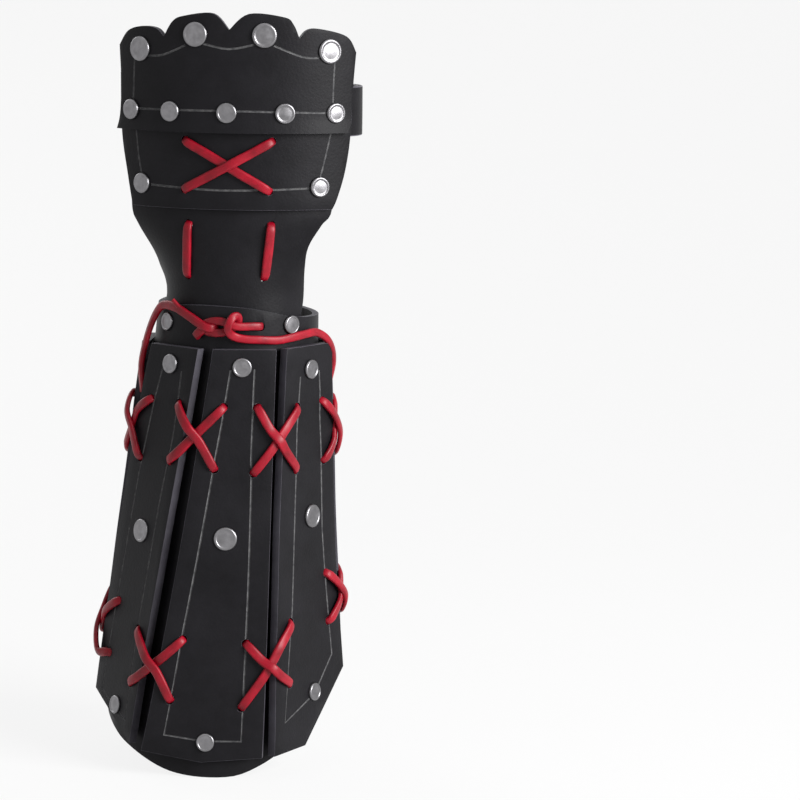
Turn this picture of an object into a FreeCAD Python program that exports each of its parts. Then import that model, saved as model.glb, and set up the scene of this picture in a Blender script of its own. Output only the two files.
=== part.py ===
import FreeCAD, Part
import math
import os

# Leather vambrace with a hinged hand guard, in millimetres.
# +Z runs along the forearm to the fingers, the back of the arm faces -Y.
# The origin is the middle of the arm opening at the elbow end.

Vec = FreeCAD.Vector
up = Vec(0, 0, 1)

# Leather and lace
shell_wall = 3.2
slat_wall = 4.2
tongue_wall = 3.0
hand_plate_wall = 3.2
knuckle_plate_wall = 3.2
strap_wall = 3.0
layer_gap = 0.3
lace_radius = 1.6
lace_hole_radius = 2.5
lace_bend_radius = 3.2
lace_lift = 2.1
lace_inner_lift = 3.0
lace_crossing_gap = 1.9

# Forearm shell: three rings from the elbow to the wrist
ring_heights = [0.0, 120.0, 237.0]
ring_radii = [59.5, 48.0, 41.0]
ring_centers_x = [0.0, 5.3, 10.5]
ring_arcs = 3
shell_section_count = 6
shell_facing = -5.0
shell_half_angle = 158.0
shell_rim = [(-64.0, 232.0), (-29.5, 235.0), (-10.0, 237.0), (10.5, 236.4), (25.0, 234.3),
             (39.4, 230.8), (64.0, 228.5)]
shell_hem = [(-63.0, 36.0), (-53.3, 19.0), (-43.6, 11.0), (-23.2, 2.3), (1.0, 0.0),
             (17.5, 2.7), (38.0, 14.4), (53.4, 35.6), (64.0, 52.0)]
shell_back_hem = [(-63.0, 36.0), (-55.0, 21.6), (-38.0, 37.0), (0.0, 46.0), (40.0, 45.0),
                  (57.8, 41.8), (64.0, 52.0)]

# Slats: facing angles, and offsets of the left and right edge, at three heights
slat_heights = [8.0, 120.0, 216.0]
slat_section_count = 6
slat_names = ["slat_outer_left", "slat_left", "slat_center", "slat_right", "slat_outer_right"]
slat_facings = [[-112.0, -107.0, -97.0], [-61.0, -56.0, -45.0], [-7.0, -1.0, 1.5],
                [53.0, 53.0, 50.0], [106.0, 104.0, 101.0]]
slat_edges = [[(-21.0, 21.0), (-21.0, 21.0), (-17.0, 17.0)],
              [(-22.0, 20.0), (-21.6, 21.3), (-15.0, 19.0)],
              [(-31.5, 31.0), (-22.0, 22.5), (-13.2, 18.6)],
              [(-35.0, 31.0), (-26.0, 22.3), (-15.9, 20.2)],
              [(-24.0, 22.0), (-22.0, 21.0), (-15.0, 17.0)]]
slat_hems = [[(-24.0, 52.0), (24.0, 38.0)], [(-24.0, 36.0), (24.0, 13.0)],
             [(-36.0, 14.5), (0.0, 8.5), (36.0, 12.0)],
             [(-40.0, 12.0), (-8.0, 13.0), (40.0, 62.0)], [(-28.0, 56.0), (28.0, 60.0)]]

# Rivets: cap radius for each group, and places as (slat, offset across, height)
cap_height = 1.4
cap_edge = 0.5
post_radius = 1.5
post_clearance = 0.2
back_cap_radius = 4.0
back_cap_height = 1.0
back_cap_seat = 0.45
cap_seat = 0.12
slat_top_cap_radius = 5.0
slat_middle_cap_radius = 6.0
slat_bottom_cap_radius = 4.7
slat_top_places = [(0, 0.0, 207.0), (1, 1.6, 207.0), (2, 2.0, 207.0), (3, 2.6, 204.0), (4, 0.0, 206.0)]
slat_middle_places = [(0, 0.0, 124.0), (1, 0.0, 121.0), (2, 0.0, 121.0), (3, 2.0, 129.0), (4, 0.0, 127.0)]
slat_bottom_places = [(0, 0.0, 58.0), (1, 1.0, 31.0), (2, 1.0, 18.6), (3, 0.5, 39.0), (4, 0.0, 72.0)]

wrist_rivet_x = [-25.3, 36.8]
wrist_rivet_drop = 10.0
wrist_rivet_height = ring_heights[-1] - wrist_rivet_drop
wrist_cap_radius = 4.8
drill_margin = 2.0

# Lace holes of the slats as (slat, offset across, height), upper and lower row
upper_row_top = [(0, 9.5, 188.0), (1, -9.0, 188.0), (1, 12.5, 188.0), (2, -6.0, 187.0),
                 (2, 11.0, 187.0), (3, -8.5, 186.0), (3, 12.0, 187.0), (4, -10.0, 187.0)]
upper_row_low = [(0, 11.5, 158.0), (1, -11.0, 157.5), (1, 13.5, 158.5), (2, -8.5, 156.0),
                 (2, 11.5, 154.0), (3, -10.5, 154.0), (3, 13.0, 156.5), (4, -12.0, 157.0)]
lower_row_top = [(0, 12.5, 86.0), (1, -11.0, 83.0), (1, 11.5, 72.0), (2, -16.5, 70.0),
                 (2, 15.5, 68.5), (3, -18.0, 77.5), (3, 14.0, 98.0), (4, -13.0, 98.0)]
lower_row_low = [(0, 13.0, 62.0), (1, -13.0, 55.5), (1, 12.5, 44.5), (2, -19.5, 39.5),
                 (2, 17.0, 36.5), (3, -20.0, 46.5), (3, 15.0, 73.0), (4, -13.5, 74.0)]

# How far the strands stand off midway between two slats
upper_lifts = [6.6, 7.4, 5.9, 5.8]
lower_lifts = [8.2, 9.0, 9.0, 6.2]

# Back closure: eyelets beside the two back edges of the shell
closure_heights = [62.0, 92.0, 122.0, 152.0, 182.0, 212.0]
closure_edge_distance = 9.0
closure_turn_angle = 3.0
closure_turn_lift = 3.2

# Hand guard: one round surface for its layers
hand_center = (18.0, 40.5)
hand_radius = 83.0
hand_facing = -8.7
hand_half_angle = 43.2
sheet_spare_angle = 12.0

# Heights of the hand guard, each built up from the one below it
rim_height = ring_heights[-1]
neck_length = 48.5
lip_rise = 38.5
row_rise = 10.0
plate_foot_height = rim_height + neck_length
knuckle_lip_height = plate_foot_height + lip_rise
row_height = knuckle_lip_height + row_rise

# Outlines as (x, rise), above the hand plate's foot or the knuckle plate's lip
hand_plate_outline = [(-50.0, 66.5), (-49.0, 36.5), (-46.0, 15.5), (-43.4, 0.0), (57.0, 0.0),
                      (59.5, 5.5), (63.5, 19.5), (66.0, 38.5), (66.5, 66.5)]
knuckle_left = [(-50.5, 0.0), (-49.5, 21.0), (-50.3, 42.0)]
knuckle_lobes = [[(-50.3, 42.0), (-46.0, 49.2), (-39.0, 51.8), (-31.8, 51.0), (-27.8, 47.0)],
                 [(-27.8, 47.0), (-23.6, 54.6), (-17.8, 57.6), (-3.4, 59.0), (4.6, 51.0)],
                 [(4.6, 51.0), (14.3, 59.0), (31.9, 57.6), (36.6, 54.0), (39.6, 47.0)],
                 [(39.6, 47.0), (43.6, 51.2), (50.0, 51.8), (63.3, 48.0), (68.2, 40.0)]]
knuckle_right = [(68.2, 40.0), (66.8, 23.0), (65.5, 0.0)]
knuckle_cap_radius = 6.3
knuckle_places = [(-39.5, 40.5), (-12.0, 48.5), (22.2, 48.5), (54.8, 40.7)]
row_cap_radius = 5.2
row_places = [(-44.0, row_rise), (-24.4, row_rise), (3.7, row_rise), (32.7, row_rise), (58.0, row_rise)]
plate_cap_radius = 5.2
plate_places = [(-38.5, 11.5), (50.4, 11.5)]
cross_top_left = (-17.0, 34.5)
cross_top_right = (26.6, 34.5)
cross_low_left = (-17.3, 9.5)
cross_low_right = (25.2, 9.5)
cross_under_lift = 3.6
stitch_head_height = plate_foot_height - 7.5
stitch_foot_height = rim_height + 14.0
stitch_left = [(-14.8, stitch_head_height), (-15.2, stitch_foot_height)]
stitch_right = [(26.2, stitch_head_height), (23.2, stitch_foot_height)]

# Wrist tongue: it follows the shell's inside at its foot and the hand plate's at its top
tongue_foot_drop = 16.0
tongue_bend_margin = 2.0
tongue_strap_gap = 6.5
strap_width = 25.0
tongue_foot_height = rim_height - tongue_foot_drop
tongue_bend_low = rim_height + tongue_bend_margin
tongue_bend_high = plate_foot_height - tongue_bend_margin
tongue_top_height = row_height - strap_width / 2 - tongue_strap_gap
tongue_bend_ring_count = 10
tongue_half_width = 58.0
tongue_widest_angle = 78.0
tongue_foot_outline = [(-22.0, tongue_foot_height), (-27.0, rim_height), (-29.5, rim_height + 15.0),
                       (-33.0, rim_height + 25.0)]
tongue_top_outline = [(-41.0, plate_foot_height - 9.5), (-44.0, plate_foot_height),
                      (-44.0, tongue_top_height), (57.0, tongue_top_height), (57.0, plate_foot_height),
                      (51.7, plate_foot_height - 8.5), (45.4, plate_foot_height - 19.5)]
tongue_end_outline = [(43.7, rim_height + 17.0), (43.0, rim_height), (40.0, tongue_foot_height)]
tongue_outline = tongue_foot_outline + tongue_top_outline + tongue_end_outline

# Palm strap: a band under the hand plate, round the palm and back
strap_tab_clearances = (0.9, 3.9)
strap_side_radius = 20.0
strap_palm_depth = 20.0

# Wrist tie: its route round the top of the shell, as facing angle, height and extra stand-off
tie_standoff = 0.4
tie_left_route = [(-72.0, 192.0, 4.0), (-71.5, 204.0, 5.0), (-71.5, 216.0, 5.0), (-71.0, 225.0, 2.0),
                  (-65.0, 233.2, 0.4), (-51.0, 234.6, 0.0), (-37.0, 231.6, 0.0), (-27.0, 227.6, 0.0)]
tie_right_route = [(4.0, 220.6, 0.0), (16.0, 219.8, 0.0), (28.0, 219.6, 0.0), (40.0, 219.7, 0.0),
                   (52.0, 220.3, 0.0), (63.0, 221.2, 0.6), (73.0, 220.2, 5.4), (78.2, 213.0, 8.0),
                   (78.3, 203.0, 6.0), (78.3, 194.0, 4.4)]
tie_hole = (21.5, 226.8)
tie_stub_middle = (13.5, 227.2)
knot_facing = -12.0
knot_height = 225.5
knot_length = 7.0
knot_radius = 3.1
knot_edge = 1.2
knot_gap = 0.5
knot_strand_drop = 1.75


def level(values, height, heights):
    """Value at a height on the parabola through three given heights."""
    low, middle, high = heights
    at_low = (height - middle) * (height - high) / ((low - middle) * (low - high))
    at_middle = (height - low) * (height - high) / ((middle - low) * (middle - high))
    at_high = (height - low) * (height - middle) / ((high - low) * (high - middle))
    return values[0] * at_low + values[1] * at_middle + values[2] * at_high


def raised(points, height):
    """Outline points lifted from rises to heights."""
    return [(x, rise + height) for x, rise in points]


def even_steps(first, last, count):
    return [first + (last - first) * i / (count - 1) for i in range(count)]


def outward_normal(point_at, x, z):
    """Outward normal of a surface given by its point at a front-view place."""
    across = point_at(x + 0.5, z) - point_at(x - 0.5, z)
    rise = point_at(x, z + 0.5) - point_at(x, z - 0.5)
    return across.cross(rise).normalize()


def facing_vector(angle):
    return Vec(math.sin(math.radians(angle)), -math.cos(math.radians(angle)), 0)


def across_vector(angle):
    return Vec(math.cos(math.radians(angle)), math.sin(math.radians(angle)), 0)


def shell_radius(height):
    return level(ring_radii, height, ring_heights)


def shell_center(height):
    return Vec(level(ring_centers_x, height, ring_heights), 0, height)


def ring_sector(center, outer, wall, facing, half_angle):
    """Closed wire of a curved wall in plan: outer arcs, inner arcs and two ends."""
    step = 2 * half_angle / ring_arcs
    angles = [facing - half_angle + step * i for i in range(ring_arcs + 1)]
    edges = []
    for radius, turns in ((outer, angles), (outer - wall, angles[::-1])):
        for first, last in zip(turns, turns[1:]):
            points = [center + facing_vector(a) * radius for a in (first, (first + last) / 2, last)]
            edges.append(Part.Arc(*points).toShape())
    inner_start = center + facing_vector(angles[-1]) * (outer - wall)
    outer_end = center + facing_vector(angles[-1]) * outer
    inner_end = center + facing_vector(angles[0]) * (outer - wall)
    outer_start = center + facing_vector(angles[0]) * outer
    edges.insert(ring_arcs, Part.LineSegment(outer_end, inner_start).toShape())
    edges.append(Part.LineSegment(inner_end, outer_start).toShape())
    return Part.Wire(edges)


def prism(points, front, back):
    """Solid over a front-view outline of (x, z) points, from one depth to another."""
    corners = [Vec(x, front, z) for x, z in points]
    face = Part.Face(Part.makePolygon(corners + corners[:1]))
    return face.extrude(Vec(0, back - front, 0))


def edge_cutter(line, limit, front, back):
    """Solid between a smooth front-view line and a level limit, from one depth to another."""
    edge = Part.BSplineCurve()
    edge.interpolate([Vec(x, front, z) for x, z in line])
    corners = [Vec(line[-1][0], front, limit), Vec(line[0][0], front, limit)]
    closing = Part.makePolygon([edge.EndPoint, *corners, edge.StartPoint])
    rim = Part.Wire([edge.toShape(), *closing.Edges])
    return Part.Face(rim).extrude(Vec(0, back - front, 0))


def make_route(points, radii):
    """Straight runs joined by tangent arcs; None as a radius takes 0.45 of the shorter run."""
    edges = []
    start = points[0]
    smallest = 1000.0
    for before, corner, after, wanted in zip(points, points[1:], points[2:], radii[1:]):
        incoming = (corner - before).normalize()
        outgoing = (after - corner).normalize()
        half_turn = incoming.getAngle(outgoing) / 2
        reach = 0.45 * min((corner - before).Length, (after - corner).Length)
        if wanted is not None:
            reach = min(reach, wanted * math.tan(half_turn))
        radius = reach / math.tan(half_turn)
        smallest = min(smallest, radius)
        enter = corner - incoming * reach
        leave = corner + outgoing * reach
        inward = (outgoing - incoming).normalize()
        middle = corner + inward * (radius / math.cos(half_turn) - radius)
        edges.append(Part.LineSegment(start, enter).toShape())
        edges.append(Part.Arc(enter, middle, leave).toShape())
        start = leave
    edges.append(Part.LineSegment(start, points[-1]).toShape())
    return Part.Wire(edges), smallest


def make_lace(name, points, radii):
    route, smallest = make_route(points, radii)
    ring = Part.Circle(points[0], points[1] - points[0], lace_radius).toShape()
    tube = route.makePipeShell([Part.Wire([ring])], True, False)
    expected = math.pi * lace_radius ** 2 * route.Length
    print(name, "length", round(route.Length, 1), "smallest radius", round(smallest, 2),
          "volume ratio", round(tube.Volume / expected, 4), tube.isValid())
    return tube


# Places on the slats

def slat_frame(slat, offset, height):
    """Point on the outer face, direction across, and outward normal."""
    def outer_point(z):
        facing = level(slat_facings[slat], z, slat_heights)
        reach = shell_radius(z) + layer_gap + slat_wall
        return shell_center(z) + facing_vector(facing) * reach + across_vector(facing) * offset
    point = outer_point(height)
    across = across_vector(level(slat_facings[slat], height, slat_heights))
    rise = (outer_point(height + 1.0) - outer_point(height - 1.0)).normalize()
    return point, across, across.cross(rise).normalize()


def depth_to_shell_inside(point, normal):
    """Distance from a point outside to the inner face of the shell, against the normal."""
    flat = Vec(-normal.x, -normal.y, 0).normalize()
    reach = point - shell_center(point.z)
    inner = shell_radius(point.z) - shell_wall
    along = reach.dot(flat)
    return -along - math.sqrt(along ** 2 - reach.dot(reach) + inner ** 2)


def slat_lace_points(place):
    point, across, normal = slat_frame(*place)
    depth = depth_to_shell_inside(point, normal) + lace_inner_lift
    return point + normal * lace_lift, point - normal * depth


# Forearm

def make_shell():
    rings = [ring_sector(shell_center(z), shell_radius(z), shell_wall, shell_facing, shell_half_angle)
             for z in even_steps(ring_heights[0], ring_heights[-1], shell_section_count)]
    shell = Part.makeLoft(rings, True, False)
    reach = 2 * ring_radii[0]
    floor = -reach
    roof = 2 * ring_heights[2]
    front_cut = edge_cutter(shell_hem, floor, -reach, 0.0)
    back_cut = edge_cutter(shell_back_hem, floor, 0.0, reach)
    top_cut = edge_cutter(shell_rim, roof, -reach, reach)
    return shell.cut([front_cut, back_cut, top_cut])


def make_slat(index):
    sections = []
    lefts = [left for left, right in slat_edges[index]]
    rights = [right for left, right in slat_edges[index]]
    for height in even_steps(slat_heights[0], slat_heights[-1], slat_section_count):
        facing = level(slat_facings[index], height, slat_heights)
        left = level(lefts, height, slat_heights)
        right = level(rights, height, slat_heights)
        inner = shell_center(height) + facing_vector(facing) * (shell_radius(height) + layer_gap)
        across = across_vector(facing)
        thick = facing_vector(facing) * slat_wall
        corners = [inner + across * left, inner + across * right,
                   inner + across * right + thick, inner + across * left + thick]
        sections.append(Part.makePolygon(corners + corners[:1]))
    slat = Part.makeLoft(sections, True, False)
    facing = slat_facings[index][0]
    hem = slat_hems[index]
    across = across_vector(facing)
    lower_edge = [across * offset + up * height for offset, height in hem]
    depth = facing_vector(facing) * (2 * ring_radii[0])
    floor = [across * hem[-1][0] - up * slat_wall, across * hem[0][0] - up * slat_wall]
    outline = lower_edge + floor
    cutter = Part.Face(Part.makePolygon(outline + outline[:1])).extrude(depth)
    return slat.cut(cutter)


# Rivets

def make_rivet(point, normal, cap_radius, stack):
    seat = point + normal * cap_seat
    cap = Part.makeCylinder(cap_radius, cap_height, seat, normal)
    cap = cap.makeChamfer(cap_edge, [cap.Edges[0]])
    post = Part.makeCylinder(post_radius, stack + cap_seat, seat, normal * -1)
    back = Part.makeCylinder(back_cap_radius, back_cap_height, point - normal * stack, normal * -1)
    return cap.fuse(post).removeSplitter(), back


def slat_rivets(places, cap_radius):
    rivets = []
    for place in places:
        point, across, normal = slat_frame(*place)
        stack = depth_to_shell_inside(point, normal) + back_cap_seat
        rivets.append((point, normal, cap_radius, stack))
    return rivets


def hand_point(place, radius):
    """Point on a round layer of the hand guard, and its outward normal."""
    x, height = place
    angle = math.degrees(math.asin((x - hand_center[0]) / radius))
    normal = facing_vector(angle)
    return Vec(hand_center[0], hand_center[1], height) + normal * radius, normal


def wrist_point(x, height):
    """Point on the shell's outer face at a front-view place, and its outward normal."""
    def outer_point(across, z):
        center = shell_center(z)
        angle = math.degrees(math.asin((across - center.x) / shell_radius(z)))
        return center + facing_vector(angle) * shell_radius(z)
    return outer_point(x, height), outward_normal(outer_point, x, height)


# Radii of the hand guard's layers, worked out from the hand plate's outer face
hand_plate_inner = hand_radius - hand_plate_wall
knuckle_inner = hand_radius + layer_gap
knuckle_outer = knuckle_inner + knuckle_plate_wall
strap_outer = hand_plate_inner - layer_gap
strap_inner = strap_outer - strap_wall
tongue_top_outer = hand_plate_inner - layer_gap
tongue_top_inner = tongue_top_outer - tongue_wall


def hand_rivets():
    groups = {"knuckle_rivets": [], "knuckle_row_rivets": [], "hand_plate_rivets": []}
    for place in raised(knuckle_places, knuckle_lip_height):
        point, normal = hand_point(place, knuckle_outer)
        groups["knuckle_rivets"].append((point, normal, knuckle_cap_radius,
                                         knuckle_plate_wall + back_cap_seat))
    for number, place in enumerate(raised(row_places, knuckle_lip_height)):
        point, normal = hand_point(place, knuckle_outer)
        end_of_row = number in (0, len(row_places) - 1)
        inside = strap_inner if end_of_row else hand_plate_inner
        groups["knuckle_row_rivets"].append((point, normal, row_cap_radius,
                                             knuckle_outer - inside + back_cap_seat))
    for place in raised(plate_places, plate_foot_height):
        point, normal = hand_point(place, hand_radius)
        groups["hand_plate_rivets"].append((point, normal, plate_cap_radius,
                                            hand_radius - tongue_top_inner + back_cap_seat))
    return groups


def wrist_rivets():
    rivets = []
    for x in wrist_rivet_x:
        point, normal = wrist_point(x, wrist_rivet_height)
        stack = shell_wall + layer_gap + tongue_wall + back_cap_seat
        rivets.append((point, normal, wrist_cap_radius, stack))
    return rivets


# Hand guard

def hand_sheet(outer, wall, low, high):
    middle = Vec(hand_center[0], hand_center[1], low)
    ring = ring_sector(middle, outer, wall, hand_facing, hand_half_angle + sheet_spare_angle)
    return Part.Face(ring).extrude(up * (high - low))


def make_hand_layer(outline, outer, wall):
    heights = [z for x, z in outline]
    sheet = hand_sheet(outer, wall, min(heights), max(heights))
    return sheet.common(prism(outline, -2 * outer, hand_center[1]))


def knuckle_face(front):
    edges = []

    def at(point):
        return Vec(point[0], front, point[1])

    sides = [raised(knuckle_left, knuckle_lip_height), raised(knuckle_right, knuckle_lip_height)]
    for chain in sides:
        edges += [Part.LineSegment(at(a), at(b)).toShape() for a, b in zip(chain, chain[1:])]
    for lobe in knuckle_lobes:
        curve = Part.BSplineCurve()
        curve.interpolate([at(point) for point in raised(lobe, knuckle_lip_height)])
        edges.append(curve.toShape())
    edges.append(Part.LineSegment(at(sides[1][-1]), at(sides[0][0])).toShape())
    return Part.Face(Part.Wire(Part.sortEdges(edges)[0]))


def make_knuckle_plate():
    highest = knuckle_lip_height + max(rise for lobe in knuckle_lobes for x, rise in lobe)
    roof = highest + knuckle_plate_wall
    sheet = hand_sheet(knuckle_outer, knuckle_plate_wall, knuckle_lip_height, roof)
    front = -2 * knuckle_outer
    return sheet.common(knuckle_face(front).extrude(Vec(0, hand_center[1] - front, 0)))


def tongue_curve(height):
    """Middle, radius and facing of the tongue: the shell's curve low down, the hand plate's above."""
    share = min(1.0, max(0.0, (height - tongue_bend_low) / (tongue_bend_high - tongue_bend_low)))
    blend = share * share * (3 - 2 * share)
    foot_radius = shell_radius(height) - shell_wall - layer_gap
    radius = 1 / ((1 - blend) / foot_radius + blend / tongue_top_outer)
    facing = (1 - blend) * shell_facing + blend * hand_facing
    foot_front = shell_center(height) + facing_vector(shell_facing) * foot_radius
    hand_middle = Vec(hand_center[0], hand_center[1], height)
    top_front = hand_middle + facing_vector(hand_facing) * tongue_top_outer
    front = foot_front * (1 - blend) + top_front * blend
    return front - facing_vector(facing) * radius, radius, facing


def tongue_ring(height):
    middle, radius, facing = tongue_curve(height)
    half_angle = min(tongue_widest_angle, math.degrees(tongue_half_width / radius))
    return ring_sector(middle, radius, tongue_wall, facing, half_angle)


def tongue_point(place):
    """Point on the tongue's outer face at a front-view place, and its outward normal."""
    def outer_point(x, z):
        middle, radius, facing = tongue_curve(z)
        return middle + facing_vector(math.degrees(math.asin((x - middle.x) / radius))) * radius
    return outer_point(*place), outward_normal(outer_point, *place)


def make_tongue():
    heights = [tongue_foot_height]
    heights += even_steps(tongue_bend_low, tongue_bend_high, tongue_bend_ring_count + 1)
    heights += [(tongue_bend_high + tongue_top_height) / 2, tongue_top_height]
    sheet = Part.makeLoft([tongue_ring(height) for height in heights], True, True)
    return sheet.common(prism(tongue_outline, -hand_radius, hand_center[1]))


def strap_tab_ends():
    """Facing angles where the two tabs end, clear of the back caps of the next rivets."""
    ends = []
    for number, side, clearance in ((1, -1, strap_tab_clearances[0]), (-2, 1, strap_tab_clearances[1])):
        x = row_places[number][0]
        rivet_angle = math.degrees(math.asin((x - hand_center[0]) / knuckle_outer))
        margin = math.degrees((back_cap_radius + clearance) / hand_plate_inner)
        ends.append(rivet_angle + side * margin)
    return ends


def strap_line(offset):
    """Plan outline of the strap at an offset from its middle line, from the left tab to the right."""
    middle = strap_outer - strap_wall / 2
    left_angle = hand_facing - hand_half_angle
    right_angle = hand_facing + hand_half_angle
    center = Vec(hand_center[0], hand_center[1], 0)
    left_end, right_end = strap_tab_ends()
    edges = []

    def hand_arc(first, last):
        points = [center + facing_vector(a) * (middle + offset) for a in (first, (first + last) / 2, last)]
        return Part.Arc(*points).toShape()

    edges.append(hand_arc(left_end, left_angle))
    left_pivot = center + facing_vector(left_angle) * (middle - strap_side_radius)
    right_pivot = center + facing_vector(right_angle) * (middle - strap_side_radius)
    side = strap_side_radius + offset

    def side_arc(pivot, first, last):
        points = [pivot + facing_vector(a) * side for a in (first, (first + last) / 2, last)]
        return Part.Arc(*points).toShape()

    edges.append(side_arc(left_pivot, left_angle, -90.0))
    palm_left_radius = strap_palm_depth - left_pivot.y
    palm_right_radius = strap_palm_depth - right_pivot.y
    left_palm_pivot = Vec(left_pivot.x - strap_side_radius + palm_left_radius, left_pivot.y, 0)
    right_palm_pivot = Vec(right_pivot.x + strap_side_radius - palm_right_radius, right_pivot.y, 0)

    def palm_arc(pivot, radius, first, last):
        points = [pivot + facing_vector(a) * (radius + offset) for a in (first, (first + last) / 2, last)]
        return Part.Arc(*points).toShape()

    left_palm = palm_arc(left_palm_pivot, palm_left_radius, -90.0, -180.0)
    right_palm = palm_arc(right_palm_pivot, palm_right_radius, 180.0, 90.0)
    edges.append(left_palm)
    edges.append(Part.LineSegment(left_palm_pivot + Vec(0, palm_left_radius + offset, 0),
                                  right_palm_pivot + Vec(0, palm_right_radius + offset, 0)).toShape())
    edges.append(right_palm)
    edges.append(side_arc(right_pivot, 90.0, right_angle))
    edges.append(hand_arc(right_angle, right_end))
    return edges


def make_strap():
    half = strap_wall / 2
    outer = strap_line(half)
    inner = strap_line(-half)
    middle = strap_outer - half
    center = Vec(hand_center[0], hand_center[1], 0)
    ends = []
    for angle in strap_tab_ends():
        along = facing_vector(angle)
        ends.append(Part.LineSegment(center + along * (middle + half),
                                     center + along * (middle - half)).toShape())
    band = Part.Face(Part.Wire(Part.sortEdges(outer + inner + ends)[0])).extrude(up * strap_width)
    return band.translated(up * (row_height - strap_width / 2))


# Laces

def cross_point(first, second, lift):
    """Middle point of a strand between two slats, lifted clear of the slat edges."""
    middle = (first + second) * 0.5
    center = shell_center(middle.z)
    outward = Vec(middle.x - center.x, middle.y - center.y, 0).normalize()
    return middle + outward * lift


def make_row_lace(name, top, low, lifts, starts_high):
    """One lace along a row: over from slat to slat, then behind the slat to its next hole."""
    points = []
    radii = []
    high = starts_high
    for crossing, lift in enumerate(lifts):
        first = (top if high else low)[2 * crossing]
        second = (low if high else top)[2 * crossing + 1]
        outer_first, inner_first = slat_lace_points(first)
        outer_second, inner_second = slat_lace_points(second)
        over_lift = 2 * lace_radius + lace_crossing_gap if high else 0.0
        points += [inner_first, outer_first, cross_point(outer_first, outer_second, lift + over_lift),
                   outer_second, inner_second]
        radii += [lace_bend_radius, lace_bend_radius, None, lace_bend_radius, lace_bend_radius]
        high = not high
    return make_lace(name, points, radii)


def closure_hole(side, height):
    """Outer face point of a back eyelet, its normal, and the lace's turn above the shell's edge."""
    reach = math.degrees(closure_edge_distance / shell_radius(height))
    facing = shell_facing + side * (shell_half_angle - reach)
    edge_facing = shell_facing + side * (shell_half_angle + closure_turn_angle)
    center = shell_center(height)
    normal = facing_vector(facing)
    turn = center + facing_vector(edge_facing) * (shell_radius(height) + closure_turn_lift)
    return center + normal * shell_radius(height), normal, turn


def make_closure_lace():
    points = []
    radii = []
    side = -1
    for height in closure_heights:
        for current in (side, -side):
            surface, normal, turn = closure_hole(current, height)
            outer = surface + normal * lace_lift
            inner = surface - normal * (shell_wall + lace_inner_lift)
            stop = [inner, outer, turn]
            bends = [lace_bend_radius, lace_bend_radius, None]
            points += stop if current == side else stop[::-1]
            radii += bends if current == side else bends[::-1]
        side = -side
    return make_lace("closure_lace", points, radii)


def hole_points(frame, depth):
    point, normal = frame
    return point + normal * lace_lift, point - normal * (depth + lace_inner_lift)


def make_hand_lace():
    low_depth = hand_radius - tongue_top_inner
    high_depth = hand_plate_wall
    left_foot, left_foot_in = hole_points(tongue_point(stitch_left[1]), tongue_wall)
    left_head, left_head_in = hole_points(tongue_point(stitch_left[0]), tongue_wall)
    right_foot, right_foot_in = hole_points(tongue_point(stitch_right[1]), tongue_wall)
    right_head, right_head_in = hole_points(tongue_point(stitch_right[0]), tongue_wall)
    low_places = raised([cross_low_left, cross_low_right], plate_foot_height)
    top_places = raised([cross_top_left, cross_top_right], plate_foot_height)
    low_left, low_left_in = hole_points(hand_point(low_places[0], hand_radius), low_depth)
    low_right, low_right_in = hole_points(hand_point(low_places[1], hand_radius), low_depth)
    top_left, top_left_in = hole_points(hand_point(top_places[0], hand_radius), high_depth)
    top_right, top_right_in = hole_points(hand_point(top_places[1], hand_radius), high_depth)
    middle = (low_left + top_right) * 0.5
    middle_place = (middle.x, middle.z)
    crest, normal = hand_point(middle_place, hand_radius)
    under = crest + normal * cross_under_lift
    over = under + normal * (2 * lace_radius + lace_crossing_gap)
    points = [left_foot_in, left_foot, left_head, left_head_in, low_left_in, low_left, over, top_right,
              top_right_in, top_left_in, top_left, under, low_right, low_right_in, right_head_in,
              right_head, right_foot, right_foot_in]
    radii = [None if point in (over, under) else lace_bend_radius for point in points]
    return make_lace("hand_lace", points, radii)


def tie_point(facing, height, extra):
    reach = shell_radius(height) + tie_standoff + lace_radius + extra
    return shell_center(height) + facing_vector(facing) * reach


def knot_frame():
    normal = facing_vector(knot_facing)
    reach = shell_radius(knot_height) + tie_standoff + knot_radius
    return shell_center(knot_height) + normal * reach, normal, across_vector(knot_facing)


def make_tie_lace():
    """The tie's three stretches: each ends at the knot, a small gap from its end faces."""
    middle, normal, across = knot_frame()
    seat = knot_length / 2 + knot_gap
    sunk = middle - normal * (knot_radius - lace_radius)
    left_end = sunk - across * seat
    right_end = sunk + across * seat - up * knot_strand_drop
    stub_end = sunk + across * seat + up * knot_strand_drop
    left = [tie_point(*stop) for stop in tie_left_route] + [left_end]
    right = [right_end] + [tie_point(*stop) for stop in tie_right_route]
    surface, outward = wrist_point(*tie_hole)
    depth = shell_wall + layer_gap + tongue_wall + lace_inner_lift
    stub = [surface - outward * depth, surface + outward * lace_lift,
            wrist_lace_point(tie_stub_middle), stub_end]
    return [make_lace("tie_lace left", left, [None] * len(left)),
            make_lace("tie_lace right", right, [None] * len(right)),
            make_lace("tie_lace stub", stub, [None, lace_bend_radius, None, None])]


def wrist_lace_point(place):
    surface, outward = wrist_point(*place)
    return surface + outward * (tie_standoff + lace_radius)


def make_knot():
    middle, normal, across = knot_frame()
    barrel = Part.makeCylinder(knot_radius, knot_length, middle - across * (knot_length / 2), across)
    rims = [edge for edge in barrel.Edges if edge.Closed]
    return barrel.makeFillet(knot_edge, rims)


# Assembly

parts = {}
holes = {}


def add_hole(point, normal, radius, depth, names):
    for name in names:
        start = point + normal * drill_margin
        bit = Part.makeCylinder(radius, depth + 2 * drill_margin, start, normal * -1)
        holes.setdefault(name, []).append(bit)


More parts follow.
